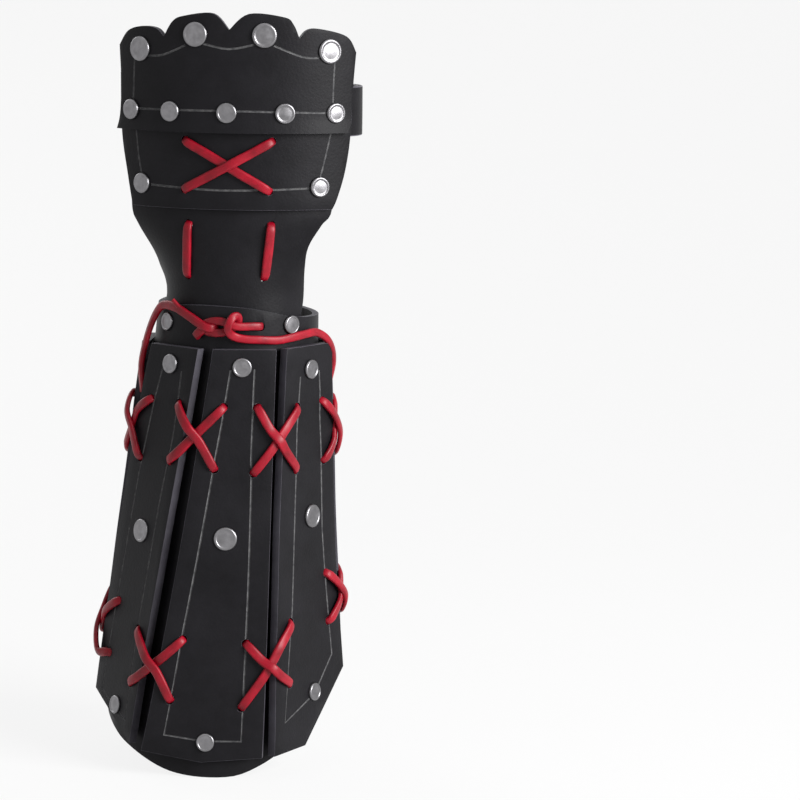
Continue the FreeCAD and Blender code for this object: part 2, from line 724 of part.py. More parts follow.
def add_rivets(group, rivets, layers):
    caps = []
    backs = []
    for (point, normal, cap_radius, stack), names in zip(rivets, layers):
        cap, back = make_rivet(point, normal, cap_radius, stack)
        caps.append(cap)
        backs.append(back)
        add_hole(point, normal, post_radius + post_clearance, stack, names)
    parts[group] = Part.makeCompound(caps)
    parts[group + "_backs"] = Part.makeCompound(backs)


parts["forearm_shell"] = make_shell()
for index, slat_name in enumerate(slat_names):
    parts[slat_name] = make_slat(index)
parts["wrist_tongue"] = make_tongue()
hand_outline = raised(hand_plate_outline, plate_foot_height)
parts["hand_plate"] = make_hand_layer(hand_outline, hand_radius, hand_plate_wall)
parts["knuckle_plate"] = make_knuckle_plate()
parts["palm_strap"] = make_strap()

for group, places, cap_radius in (("slat_rivets_top", slat_top_places, slat_top_cap_radius),
                                  ("slat_rivets_middle", slat_middle_places, slat_middle_cap_radius),
                                  ("slat_rivets_bottom", slat_bottom_places, slat_bottom_cap_radius)):
    layers = [(slat_names[place[0]], "forearm_shell") for place in places]
    add_rivets(group, slat_rivets(places, cap_radius), layers)
wrist_layers = ("forearm_shell", "wrist_tongue")
add_rivets("wrist_rivets", wrist_rivets(), [wrist_layers] * len(wrist_rivet_x))
plain_layers = ("knuckle_plate", "hand_plate")
row_layers = [plain_layers] * len(row_places)
row_layers[0] = plain_layers + ("palm_strap",)
row_layers[-1] = plain_layers + ("palm_strap",)
hand_layers = {"knuckle_rivets": [("knuckle_plate",)] * len(knuckle_places),
               "knuckle_row_rivets": row_layers,
               "hand_plate_rivets": [("hand_plate", "wrist_tongue")] * len(plate_places)}
for group, rivets in hand_rivets().items():
    add_rivets(group, rivets, hand_layers[group])

for place in upper_row_top + upper_row_low + lower_row_top + lower_row_low:
    point, across, normal = slat_frame(*place)
    add_hole(point, normal, lace_hole_radius, depth_to_shell_inside(point, normal),
             (slat_names[place[0]], "forearm_shell"))
for height in closure_heights:
    for side in (-1, 1):
        surface, normal, turn = closure_hole(side, height)
        add_hole(surface, normal, lace_hole_radius, shell_wall, ("forearm_shell",))
tie_surface, tie_normal = wrist_point(*tie_hole)
add_hole(tie_surface, tie_normal, lace_hole_radius, shell_wall + layer_gap + tongue_wall, wrist_layers)
double_depth = hand_radius - tongue_top_inner
for place in raised([cross_low_left, cross_low_right], plate_foot_height):
    point, normal = hand_point(place, hand_radius)
    add_hole(point, normal, lace_hole_radius, double_depth, ("hand_plate", "wrist_tongue"))
for place in raised([cross_top_left, cross_top_right], plate_foot_height):
    point, normal = hand_point(place, hand_radius)
    add_hole(point, normal, lace_hole_radius, hand_plate_wall, ("hand_plate",))
for place in stitch_left + stitch_right:
    point, normal = tongue_point(place)
    add_hole(point, normal, lace_hole_radius, tongue_wall, ("wrist_tongue",))

parts["hand_lace"] = make_hand_lace()
for name, cutters in holes.items():
    parts[name] = parts[name].cut(cutters)
parts["upper_lace_a"] = make_row_lace("upper_lace_a", upper_row_top, upper_row_low, upper_lifts, True)
parts["upper_lace_b"] = make_row_lace("upper_lace_b", upper_row_top, upper_row_low, upper_lifts, False)
parts["lower_lace_a"] = make_row_lace("lower_lace_a", lower_row_top, lower_row_low, lower_lifts, True)
parts["lower_lace_b"] = make_row_lace("lower_lace_b", lower_row_top, lower_row_low, lower_lifts, False)
parts["closure_lace"] = make_closure_lace()
parts["tie_lace"] = Part.makeCompound(make_tie_lace())
parts["tie_knot"] = make_knot()

os.makedirs("parts", exist_ok=True)
for name, shape in parts.items():
    shape.exportStep("parts/" + name + ".step")
    print(name, len(shape.Solids), "solids", round(shape.Volume / 1000, 2), "cm3", shape.isValid())
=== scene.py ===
import bpy
import math
from mathutils import Euler, Matrix, Vector, noise


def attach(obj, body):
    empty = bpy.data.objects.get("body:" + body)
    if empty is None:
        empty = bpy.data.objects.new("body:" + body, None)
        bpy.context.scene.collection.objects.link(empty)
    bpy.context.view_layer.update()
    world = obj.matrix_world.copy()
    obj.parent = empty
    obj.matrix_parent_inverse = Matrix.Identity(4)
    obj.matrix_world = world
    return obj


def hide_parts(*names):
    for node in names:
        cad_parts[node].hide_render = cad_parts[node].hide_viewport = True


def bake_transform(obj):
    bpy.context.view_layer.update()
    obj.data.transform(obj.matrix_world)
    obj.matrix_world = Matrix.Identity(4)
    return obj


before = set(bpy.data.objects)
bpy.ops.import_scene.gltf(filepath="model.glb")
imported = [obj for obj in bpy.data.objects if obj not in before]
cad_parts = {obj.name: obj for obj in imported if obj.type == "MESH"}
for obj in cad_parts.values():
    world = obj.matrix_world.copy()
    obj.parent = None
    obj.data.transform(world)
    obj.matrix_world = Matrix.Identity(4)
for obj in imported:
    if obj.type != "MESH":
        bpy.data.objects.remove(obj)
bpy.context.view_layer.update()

# Sizes are in millimetres and turn into metres when a piece is put in its place.
# +Z runs along the forearm to the fingers, the back of the arm faces -Y.
mm = 0.001
up = Vector((0, 0, 1))

# The arm's round form, from the elbow to the wrist
arm = {
    "heights": (0, 120, 237),
    "radii": (59.5, 48, 41),
    "middlesX": (0, 5.3, 10.5),
    "wall": 3.2,
    "gap": 0.3,
    "facing": -5,
    "halfAngle": 158,
}

# The hand guard's round form
hand = {
    "middle": (18, 40.5),
    "radius": 83,
    "facing": -8.7,
    "halfAngle": 43.2,
    "plateWall": 3.2,
    "knuckleWall": 3.2,
    "lipHeight": 324,
    "rowHeight": 334,
}
hand["knuckleRadius"] = hand["radius"] + arm["gap"] + hand["knuckleWall"]
hand["underRadius"] = hand["radius"] - hand["plateWall"] - arm["gap"]

flatPerDegree = 0.9  # a round sheet's flat pattern has this many millimetres for each degree


def level(values, height, heights):
    # The value at a height, on the parabola through three of them
    low, middle, high = heights
    atLow = (height - middle) * (height - high) / ((low - middle) * (low - high))
    atMiddle = (height - low) * (height - high) / ((middle - low) * (middle - high))
    atHigh = (height - low) * (height - middle) / ((high - low) * (high - middle))
    return values[0] * atLow + values[1] * atMiddle + values[2] * atHigh


def facing(angle):
    # The level direction out from the arm, at an angle from its back
    return Vector((math.sin(math.radians(angle)), -math.cos(math.radians(angle)), 0))


def across(angle):
    # The level direction along the surface there
    return Vector((math.cos(math.radians(angle)), math.sin(math.radians(angle)), 0))


def armRadius(height):
    return level(arm["radii"], height, arm["heights"])


def armMiddle(height):
    return Vector((level(arm["middlesX"], height, arm["heights"]), 0, height))


def shellPoint(angle, height, out=0.0):
    return armMiddle(height) + facing(angle) * (armRadius(height) + out)


def smoothLine(points, steps=8):
    # A smooth line through the points, with even steps on each stretch
    ends = [points[0], *points, points[-1]]
    line = []
    for p0, p1, p2, p3 in zip(ends, ends[1:], ends[2:], ends[3:]):
        for step in range(steps):
            t = step / steps
            line.append(tuple(
                0.5 * (2 * b + (c - a) * t + (2 * a - 5 * b + 4 * c - d) * t * t
                       + (3 * b - a - 3 * c + d) * t ** 3)
                for a, b, c, d in zip(p0, p1, p2, p3)))
    return line + [tuple(points[-1])]


def heightOn(line, x):
    # The height of a line of the front view at a place across
    for (x0, z0), (x1, z1) in zip(line, line[1:]):
        if x <= x1:
            return z0 + (z1 - z0) * max(0, x - x0) / (x1 - x0)
    return line[-1][1]


ripples = {"acrossLength": 34, "upLength": 47, "seedStep": 7.3}


def ripple(u, v, seed, size):
    # How far the leather waves out of true at a place on its pattern
    place = Vector((u / ripples["acrossLength"], v / ripples["upLength"], seed * ripples["seedStep"]))
    return size * noise.noise(place)


# Camera at the photograph's angle
cameraSetup = {"lens": 162, "sensor": 36, "distance": 1.842, "target": (0.006, -0.01, 0.1863),
               "elevation": 8, "turn": 2.74, "roll": 0.75}


def makeCamera():
    data = bpy.data.cameras.new("camera")
    data.lens = cameraSetup["lens"]
    data.sensor_width = cameraSetup["sensor"]
    camera = bpy.data.objects.new("camera", data)
    bpy.context.scene.collection.objects.link(camera)
    tilt = math.radians(cameraSetup["elevation"])
    back = Vector((0, -math.cos(tilt), math.sin(tilt)))
    camera.location = Vector(cameraSetup["target"]) + back * cameraSetup["distance"]
    aim = Euler((math.radians(90) - tilt, 0, -math.radians(cameraSetup["turn"]))).to_matrix()
    roll = Matrix.Rotation(math.radians(cameraSetup["roll"]), 3, "Z")
    camera.rotation_euler = (aim @ roll).to_euler()
    bpy.context.scene.camera = camera


# Shader values as Python expressions
class Signal:
    def __init__(self, tree, socket):
        self.tree = tree
        self.socket = socket

    def calculate(self, operation, first, second):
        node = self.tree.nodes.new("ShaderNodeMath")
        node.operation = operation
        for slot, value in zip(node.inputs, (first, second)):
            feed(self.tree, slot, value)
        return Signal(self.tree, node.outputs[0])

    def __add__(self, other):
        return self.calculate("ADD", self, other)

    def __sub__(self, other):
        return self.calculate("SUBTRACT", self, other)

    def __rsub__(self, other):
        return self.calculate("SUBTRACT", other, self)

    def __mul__(self, other):
        return self.calculate("MULTIPLY", self, other)

    __radd__ = __add__
    __rmul__ = __mul__


def weigh(signals, shares):
    total = signals[0] * shares[0]
    for signal, share in zip(signals[1:], shares[1:]):
        total += signal * share
    return total


def feed(tree, slot, value):
    if isinstance(value, Signal):
        tree.links.new(value.socket, slot)
    else:
        slot.default_value = value


class Finish:
    def __init__(self, name):
        self.material = bpy.data.materials.new(name)
        self.material.use_nodes = True
        self.tree = self.material.node_tree
        self.shader = self.tree.nodes["Principled BSDF"]

    def node(self, kind, settings=None, values=None, output=0):
        made = self.tree.nodes.new("ShaderNode" + kind)
        for name, setting in (settings or {}).items():
            setattr(made, name, setting)
        for name, value in (values or {}).items():
            feed(self.tree, made.inputs[name], value)
        return Signal(self.tree, made.outputs[output])

    def mixColor(self, factor, first, second):
        return self.node("Mix", {"data_type": "RGBA"}, {0: factor, 6: first, 7: second}, 2)

    def noise(self, place, scale, detail, roughness=0.55):
        return self.node("TexNoise", None, {"Vector": place, "Scale": scale, "Detail": detail,
                                            "Roughness": roughness})

    def spread(self, value, low, high):
        # 0 where the value is low, 1 where it is high
        return self.node("MapRange", None, {"Value": value, "From Min": low, "From Max": high})

    def bump(self, height, strength, distance):
        return self.node("Bump", None, {"Height": height, "Strength": strength, "Distance": distance})

    def surface(self, values):
        for name, value in values.items():
            feed(self.tree, self.shader.inputs[name], value)
        return self.material


# In all the finishes a pattern is (scale, detail), a range (low, high) and a bump (strength, depth)
leather = {
    "dark": (0.0043, 0.0040, 0.0049),
    "light": (0.0118, 0.0112, 0.0134),
    "sheen": 0.11,
    "patches": (26, 5),
    "creases": (140, 6, 0.65),
    "fine": (1748, 2),
    "grain": {"Scale": 760, "Smoothness": 0.6},
    "tone": (0.7, 0.3),  # shares of the patches and the creases
    "toneRange": (0.3, 0.7),
    "dull": (0.12, 0.1),  # the same for the roughness
    "middleDull": 0.11,
    "relief": (0.5, 0.2, 0.9),  # shares of the grain, the fine pattern and the creases
    "bump": (0.32, 0.0003),
}


def makeLeather(name, lift, roughness):
    f = Finish(name)
    place = f.node("TexCoord", output="Object")
    patches = f.noise(place, *leather["patches"])
    creases = f.noise(place, *leather["creases"])
    grain = f.node("TexVoronoi", {"feature": "SMOOTH_F1"}, {"Vector": place, **leather["grain"]})
    fine = f.noise(place, *leather["fine"])
    # A lift above 1 gives a lighter copy of the leather, painted highlight for the edges
    dark, light = [tuple(c * lift for c in leather[tone]) + (1,) for tone in ("dark", "light")]
    tone = f.spread(weigh((patches, creases), leather["tone"]), *leather["toneRange"])
    dull = weigh((patches, creases), leather["dull"]) + roughness - leather["middleDull"]
    relief = weigh((grain, fine, creases), leather["relief"])
    return f.surface({"Base Color": f.mixColor(tone, dark, light), "Roughness": dull,
                      "Normal": f.bump(relief, *leather["bump"]), "Specular IOR Level": leather["sheen"]})


scribed = {"dark": (0.035, 0.035, 0.038, 1), "light": (0.105, 0.104, 0.106, 1), "toneRange": (0.35, 0.65),
           "wearAndHighlight": (420, 4), "roughness": 0.75, "bump": (0.3, 0.0002)}


def makeScribe():
    f = Finish("scribedLine")
    wearAndHighlight = f.noise(f.node("TexCoord", output="Object"), *scribed["wearAndHighlight"])
    tone = f.spread(wearAndHighlight, *scribed["toneRange"])
    return f.surface({"Base Color": f.mixColor(tone, scribed["dark"], scribed["light"]),
                      "Roughness": scribed["roughness"], "Normal": f.bump(wearAndHighlight, *scribed["bump"])})


laceLeather = {
    "red": (0.34, 0.001, 0.014, 1),
    "deep": (0.18, 0.001, 0.008, 1),
    # pale is the colour of painted highlight streaks along the lace
    "pale": (0.42, 0.016, 0.038, 1),
    "highlightShare": 0.3,
    "sheen": 0.3,
    "roughness": 0.3,
    "patchDull": 0.2,
    "fibreStretch": (1, 0.09, 1),
    "fibre": (1500, 3),
    "fibreRange": (0.55, 0.75),
    "patches": (120, 4),
    "toneRange": (0.32, 0.68),
    "relief": (0.6, 0.7),  # shares of the fibre and the patches
    "bump": (0.25, 0.0002),
}


def makeLaceFinish():
    f = Finish("redLaceLeather")
    route = f.node("UVMap", {"uv_map": "route"})
    stretched = f.node("Mapping", None, {"Vector": route, "Scale": laceLeather["fibreStretch"]})
    fibre = f.noise(stretched, *laceLeather["fibre"])
    patches = f.noise(f.node("TexCoord", output="Object"), *laceLeather["patches"])
    tone = f.spread(patches, *laceLeather["toneRange"])
    body = f.mixColor(tone, laceLeather["deep"], laceLeather["red"])
    # Pale streaks along the fibre, painted highlight on the lace
    wearAndHighlight = f.spread(fibre, *laceLeather["fibreRange"]) * laceLeather["highlightShare"]
    relief = weigh((fibre, patches), laceLeather["relief"])
    return f.surface({"Base Color": f.mixColor(wearAndHighlight, body, laceLeather["pale"]),
                      "Roughness": laceLeather["roughness"] + patches * laceLeather["patchDull"],
                      "Normal": f.bump(relief, *laceLeather["bump"]),
                      "Specular IOR Level": laceLeather["sheen"]})


rivetMetal = {"clouds": (330, 4), "specks": (1900, 3), "toneRange": (0.3, 0.7), "darker": 0.72,
              "cloudDull": 0.14, "speckRelief": 0.6, "bump": (0.09, 0.0001)}


def makeNickel(name, color, roughness):
    f = Finish(name)
    place = f.node("TexCoord", output="Object")
    cloud = f.noise(place, *rivetMetal["clouds"])
    speck = f.noise(place, *rivetMetal["specks"])
    tone = f.spread(cloud, *rivetMetal["toneRange"])
    darker = tuple(c * rivetMetal["darker"] for c in color) + (1,)
    return f.surface({"Base Color": f.mixColor(tone, darker, (*color, 1)), "Metallic": 1.0,
                      "Roughness": roughness + cloud * rivetMetal["cloudDull"],
                      "Normal": f.bump(speck * rivetMetal["speckRelief"] + cloud, *rivetMetal["bump"])})


# Leather as (how many times lighter than the sheet's face, roughness), nickel as (colour, roughness). The
# lighter edge finishes are painted highlight; on the bevels it is partly edge wear too
blackLeather = makeLeather("blackLeather", 1.0, 0.46)
# Bevels: lighter as painted highlight along the edges, partly edge wear
burnishedEdgeAndHighlight = makeLeather("burnishedEdgeAndHighlight", 13, 0.36)
# Cut sides: painted lighter, a painted highlight where the light falls on them
cutEdgeHighlight = makeLeather("cutEdgeHighlight", 6.5, 0.5)
scribedLine = makeScribe()
redLace = makeLaceFinish()
nickel = makeNickel("nickelCap", (0.235, 0.23, 0.24), 0.24)
nickelBack = makeNickel("nickelBack", (0.34, 0.335, 0.345), 0.32)
print("finishes ready")


# Working with Blender's own tools
def edit(action):
    # Into edit mode, with everything or nothing selected
    bpy.ops.object.mode_set(mode="EDIT")
    bpy.ops.mesh.select_all(action=action)


def editEdge(piece, ends):
    # Into edit mode, with only the edge between two corners selected
    edit("DESELECT")
    bpy.ops.object.mode_set(mode="OBJECT")
    for edge in piece.data.edges:
        edge.select = set(edge.vertices) == set(ends)
    bpy.ops.object.mode_set(mode="EDIT")


def faceOutwards():
    # Turns all the faces outwards and leaves edit mode
    bpy.ops.mesh.select_all(action="SELECT")
    bpy.ops.mesh.normals_make_consistent(inside=False)
    bpy.ops.object.mode_set(mode="OBJECT")


def deselect():
    if bpy.context.object and bpy.context.object.mode == "EDIT":
        bpy.ops.object.mode_set(mode="OBJECT")
    bpy.ops.object.select_all(action="DESELECT")


def choose(piece):
    deselect()
    piece.select_set(True)
    bpy.context.view_layer.objects.active = piece


def applyModifier(piece, kind, settings):
    choose(piece)
    modifier = piece.modifiers.new("work", kind)
    for name, setting in settings.items():
        setattr(modifier, name, setting)
    bpy.ops.object.modifier_apply(modifier=modifier.name)


def cutAway(piece, cutter):
    applyModifier(piece, "BOOLEAN", {"operation": "DIFFERENCE", "object": cutter, "solver": "EXACT",
                                     "material_mode": "TRANSFER"})
    bpy.data.objects.remove(cutter)


def handOver(piece, nodes, body):
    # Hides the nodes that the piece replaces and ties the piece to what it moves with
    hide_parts(*nodes)
    if body == "neck":
        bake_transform(piece)
    else:
        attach(piece, body)


# Leather sheets: a flat pattern with its holes, edges and scribed lines, then bent to its place
sheetWork = {
    "edge": 0.55,
    "edgeSegments": 3,
    "edgeAngle": 50,
    "sideSlope": 0.5,  # the cut sides are the faces that look less than this up or down
    "holeSides": 28,
    "punchWalls": 4,  # the punch's length, in walls
    "scribeRadius": 0.62,
    "scribeRoundness": 2,
    "scribeSink": 0.2,
    "cutShift": 0.013,  # keeps the even cuts off the pattern's own corners
    "weld": 0.004,
    "smoothAngle": 38,
}
sheetFinishes = (blackLeather, burnishedEdgeAndHighlight, scribedLine, cutEdgeHighlight)


def flatPattern(name, outline, wall):
    deselect()
    bpy.ops.mesh.primitive_circle_add(vertices=len(outline), radius=1, fill_type="NGON")
    piece = bpy.context.object
    piece.name = name
    for corner, (u, v) in zip(piece.data.vertices, outline):
        corner.co = (u, v, -wall)
    edit("SELECT")
    bpy.ops.mesh.extrude_region_move(TRANSFORM_OT_translate={"value": (0, 0, wall)})
    faceOutwards()
    for finish in sheetFinishes:
        piece.data.materials.append(finish)
    # The cut sides take the lighter cut-edge finish, a painted highlight
    for face in piece.data.polygons:
        if abs(face.normal.z) < sheetWork["sideSlope"]:
            face.material_index = sheetFinishes.index(cutEdgeHighlight)
    return piece


def punch(piece, holes, wall):
    # Each hole is (u, v, half width, half height)
    for u, v, halfWidth, halfHeight in holes:
        deselect()
        bpy.ops.mesh.primitive_cylinder_add(vertices=sheetWork["holeSides"], radius=1, location=(u, v, 0),
                                            depth=sheetWork["punchWalls"] * wall,
                                            scale=(halfWidth, halfHeight, 1))
        cutter = bpy.context.object
        cutter.data.materials.append(blackLeather)
        cutAway(piece, cutter)


def scribe(piece, lines):
    for line in lines:
        data = bpy.data.curves.new("scribe", "CURVE")
        data.dimensions = "3D"
        spline = data.splines.new("POLY")
        spline.points.add(len(line) - 1)
        for point, (u, v) in zip(spline.points, line):
            point.co = (u, v, sheetWork["scribeSink"], 1)
        data.bevel_depth = sheetWork["scribeRadius"]
        data.bevel_resolution = sheetWork["scribeRoundness"]
        data.use_fill_caps = True
        data.materials.append(scribedLine)
        tool = bpy.data.objects.new("scribe", data)
        bpy.context.scene.collection.objects.link(tool)
        choose(tool)
        bpy.ops.object.convert(target="MESH")
        cutAway(piece, bpy.context.object)


def cutEvenly(piece, steps):
    # Even cuts both ways, so that the flat sheet can bend
    reaches = [[corner.co[axis] for corner in piece.data.vertices] for axis in (0, 1)]
    choose(piece)
    edit("SELECT")
    for reach, step, direction in zip(reaches, steps, ((1, 0, 0), (0, 1, 0))):
        low = min(reach)
        high = max(reach)
        count = max(1, round((high - low) / step))
        for number in range(1, count):
            place = low + (high - low) * number / count + sheetWork["cutShift"]
            bpy.ops.mesh.select_all(action="SELECT")
            bpy.ops.mesh.bisect(plane_co=tuple(place * c for c in direction), plane_no=direction)
    bpy.ops.mesh.select_all(action="SELECT")
    bpy.ops.mesh.remove_doubles(threshold=sheetWork["weld"])
    bpy.ops.object.mode_set(mode="OBJECT")


def makeSheet(name, outline, wall, place, holes, lines, steps, body):
    # place bends a point of the pattern, and steps are the distances between the even cuts
    piece = flatPattern(name, outline, wall)
    punch(piece, holes, wall)
    # The bevel faces take the lighter edge finish, a painted highlight that is partly edge wear
    applyModifier(piece, "BEVEL", {"width": sheetWork["edge"], "segments": sheetWork["edgeSegments"],
                                   "limit_method": "ANGLE", "material": sheetFinishes.index(burnishedEdgeAndHighlight),
                                   "angle_limit": math.radians(sheetWork["edgeAngle"]),
                                   "use_clamp_overlap": True})
    scribe(piece, lines)
    cutEvenly(piece, steps)
    for corner in piece.data.vertices:
        corner.co = place(*corner.co) * mm
    choose(piece)
    bpy.ops.object.shade_smooth_by_angle(angle=math.radians(sheetWork["smoothAngle"]))
    handOver(piece, [name], body)
    print("sheet", name, len(piece.data.polygons), "faces")


# Slats
slats = {
    "names": ("slat_outer_left", "slat_left", "slat_center", "slat_right", "slat_outer_right"),
    "heights": (8, 120, 216),
    "wall": 4.2,
    "facings": ((-112, -107, -97), (-61, -56, -45), (-7, -1, 1.5), (53, 53, 50), (106, 104, 101)),
    "lefts": ((-21, -21, -17), (-22, -21.6, -15), (-31.5, -22, -13.2), (-35, -26, -15.9), (-24, -22, -15)),
    "rights": ((21, 21, 17), (20, 21.3, 19), (31, 22.5, 18.6), (31, 22.3, 20.2), (22, 21, 17)),
    "hems": (((-24, 52), (24, 38)), ((-24, 36), (24, 13)), ((-36, 14.5), (0, 8.5), (36, 12)),
             ((-40, 12), (-8, 13), (40, 62)), ((-28, 56), (28, 60))),
    "edgeSteps": 14,
    "lineSteps": 3,
    "smoothBelow": 6,  # a scribed line of fewer points than this is made smooth
    "wave": 0.5,
    "cuts": (9, 7),
}

# Lines scribed on the slats, as (offset, height)
slatLines = (
    (((-6, 203), (-7, 180), (-9, 130), (-11, 62)), ((6, 203), (8, 150), (10, 100), (12, 56), (-11, 62))),
    (((-4, 204), (-6.4, 188), (-10, 150), (-13, 90), (-15.5, 36), (0, 29)),
     ((10.2, 204), (11.2, 192.6), (12.6, 170.3), (11.6, 140), (11, 76.4), (12.6, 25), (4, 28.2))),
    (((-3.6, 205.7), (-5.2, 190.1), (-6, 181.2), (-8.3, 161.5), (-9.8, 146), (-16.8, 73.9), (-20.3, 21.9),
      (0, 19.2), (19, 19.5), (17, 45), (15.3, 69.1), (10.6, 150.4), (9.7, 160.4), (9, 181.1), (8.6, 194.5),
      (8.4, 206.2)),),
    (((-5.4, 201), (-7, 189.7), (-9.1, 174.3), (-10.6, 148.9), (-16.4, 82.9), (-25.2, 27.6), (0, 37.5)),
     ((9.6, 202.8), (10.1, 191.9), (9.6, 179.9), (10.7, 160.8), (11, 120.8), (14.5, 84.7), (17.3, 55.6),
      (2, 38.6))),
    (((-6, 203), (-8, 150), (-10, 100), (-12, 72), (12, 74), (9, 110), (7, 160), (6, 203)),),
)


def slatPoint(slat, offset, height, out=0.0):
    turn = level(slats["facings"][slat], height, slats["heights"])
    reach = armRadius(height) + arm["gap"] + slats["wall"] + out
    return armMiddle(height) + facing(turn) * reach + across(turn) * offset


def slatNormal(slat, offset, height):
    turn = level(slats["facings"][slat], height, slats["heights"])
    rise = slatPoint(slat, offset, height + 1) - slatPoint(slat, offset, height - 1)
    return across(turn).cross(rise).normalized()


def slatOutline(slat):
    def edge(side, height):
        return level(slats[side][slat], height, slats["heights"])

    hem = slats["hems"][slat]
    top = slats["heights"][2]
    leftFoot = heightOn(hem, edge("lefts", hem[0][1]))
    rightFoot = heightOn(hem, edge("rights", hem[-1][1]))
    steps = slats["edgeSteps"]
    outline = [(edge("lefts", leftFoot), leftFoot), *hem[1:-1]]
    for side, start, end in (("rights", rightFoot, top), ("lefts", top, leftFoot)):
        for i in range(steps + 1):
            height = start + (end - start) * i / steps
            outline.append((edge(side, height), height))
    return outline[:-1]  # the last point is the first one again


def makeSlat(slat):
    def place(u, v, w):
        return slatPoint(slat, u, v, w + ripple(u, v, slat + 1, slats["wave"]))

    lines = [smoothLine(line, slats["lineSteps"]) if len(line) < slats["smoothBelow"] else line
             for line in slatLines[slat]]
    holes = [(offset, height, size, size) for (number, offset, height), size in slatHoles if number == slat]
    makeSheet(slats["names"][slat], slatOutline(slat), slats["wall"], place, holes, lines,
              slats["cuts"], "forearm")


# Rivet groups: cap radius, and places as (slat, offset, height) or (x, height)
slatRivets = {
    "slat_rivets_top": (5.0, ((0, 0, 207), (1, 1.6, 207), (2, 2, 207), (3, 2.6, 204), (4, 0, 206))),
    "slat_rivets_middle": (6.0, ((0, 0, 124), (1, 0, 121), (2, 0, 121), (3, 2, 129), (4, 0, 127))),
    "slat_rivets_bottom": (4.7, ((0, 0, 58), (1, 1, 31), (2, 1, 18.6), (3, 0.5, 39), (4, 0, 72))),
}
wristRivets = (4.8, ((-25.3, 227), (36.8, 227)))
handRivets = {
    "knuckle_rivets": (6.3, ((-39.5, 364.5), (-12, 372.5), (22.2, 372.5), (54.8, 364.7))),
    "knuckle_row_rivets": (5.2, ((-44, 334), (-24.4, 334), (3.7, 334), (32.7, 334), (58, 334))),
    "hand_plate_rivets": (5.2, ((-38.5, 297), (50.4, 297))),
}

# Radii of the holes
rivetHole = 1.7
laceHole = 2.3
handLaceHole = 1.95

# Lace rows, with their holes as (slat, offset, height)
rows = {
    "upper_lace": {
        "top": ((0, 9.5, 188), (1, -9, 188), (1, 12.5, 188), (2, -6, 187), (2, 11, 187), (3, -8.5, 186),
                (3, 12, 187), (4, -10, 187)),
        "low": ((0, 11.5, 158), (1, -11, 157.5), (1, 13.5, 158.5), (2, -8.5, 156), (2, 11.5, 154),
                (3, -10.5, 154), (3, 13, 156.5), (4, -12, 157))},
    "lower_lace": {
        "top": ((0, 12.5, 86), (1, -11, 83), (1, 11.5, 72), (2, -16.5, 70), (2, 15.5, 68.5), (3, -18, 77.5),
                (3, 14, 98), (4, -13, 98)),
        "low": ((0, 13, 62), (1, -13, 55.5), (1, 12.5, 44.5), (2, -19.5, 39.5), (2, 17, 36.5),
                (3, -20, 46.5), (3, 15, 73), (4, -13.5, 74))},
}
slatHoles = [(place, laceHole) for row in rows.values() for side in row.values() for place in side]
slatHoles += [(place, rivetHole) for radius, places in slatRivets.values() for place in places]
closure = {"heights": (62, 92, 122, 152, 182, 212), "edgeDistance": 9, "lift": 1.45}
tieHole = (21.5, 226.8)

for slat in range(len(slats["names"])):
    makeSlat(slat)

# Forearm shell
shell = {
    "rim": ((-64, 232), (-29.5, 235), (-10, 237), (10.5, 236.4), (25, 234.3), (39.4, 230.8), (64, 228.5)),
    "hem": ((-63, 36), (-53.3, 19), (-43.6, 11), (-23.2, 2.3), (1, 0), (17.5, 2.7), (38, 14.4),
            (53.4, 35.6), (64, 52)),
    "backHem": ((-63, 36), (-55, 21.6), (-38, 37), (0, 46), (40, 45), (57.8, 41.8), (64, 52)),
    "angleStep": 4,
    "edgeRounds": 12,  # how many times an edge's height is worked out again
    "holeRounds": 6,
    "wave": (9, 0.6),  # seed and size
    "cuts": (4, 9),
}


def shellEdge(angle, line):
    height = line[len(line) // 2][1]
    for _ in range(shell["edgeRounds"]):
        x = armMiddle(height).x + armRadius(height) * math.sin(math.radians(angle))
        height = heightOn(line, x)
    return height


def shellOutline():
    rim = smoothLine(shell["rim"])
    hem = smoothLine(shell["hem"])
    backHem = smoothLine(shell["backHem"])
    first = arm["facing"] - arm["halfAngle"]
    count = round(2 * arm["halfAngle"] / shell["angleStep"])
    angles = [first + 2 * arm["halfAngle"] * i / count for i in range(count + 1)]
    lower = [(a * flatPerDegree, shellEdge(a, hem if abs(a) < 90 else backHem)) for a in angles]
    upper = [(a * flatPerDegree, shellEdge(a, rim)) for a in angles]
    return lower + upper[::-1]


def roundHole(angle, height, radius, hole):
    # A round hole's place and half sizes on a pattern that is narrower or wider than the real sheet
    return angle * flatPerDegree, height, hole * flatPerDegree / math.radians(radius), hole


def shellHole(angle, height, hole):
    return roundHole(angle, height, armRadius(height), hole)


def shellPlace(u, v, w):
    return shellPoint(u / flatPerDegree, v, w + ripple(u, v, *shell["wave"]))


def slatHoleOnShell(slat, offset, height, hole):
    # A slat's hole, drilled on square to the slat until it meets the shell
    point = slatPoint(slat, offset, height)
    normal = slatNormal(slat, offset, height)
    for _ in range(shell["holeRounds"]):
        out = (point - armMiddle(point.z)).length - armRadius(point.z)
        point = point - normal * out
    away = point - armMiddle(point.z)
    turn = math.degrees(math.atan2(away.x, -away.y))
    return shellHole(turn, point.z, hole)


def frontAngle(x, height):
    return math.degrees(math.asin((x - armMiddle(height).x) / armRadius(height)))


def closureAngle(side, height):
    inset = math.degrees(closure["edgeDistance"] / armRadius(height))
    return arm["facing"] + side * (arm["halfAngle"] - inset)


def makeShell():
    holes = [slatHoleOnShell(*place, size) for place, size in slatHoles]
    holes += [shellHole(frontAngle(x, height), height, rivetHole) for x, height in wristRivets[1]]
    holes.append(shellHole(frontAngle(*tieHole), tieHole[1], laceHole))
    holes += [shellHole(closureAngle(side, height), height, laceHole)
              for height in closure["heights"] for side in (-1, 1)]
    makeSheet("forearm_shell", shellOutline(), arm["wall"], shellPlace, holes, (), shell["cuts"], "forearm")


makeShell()

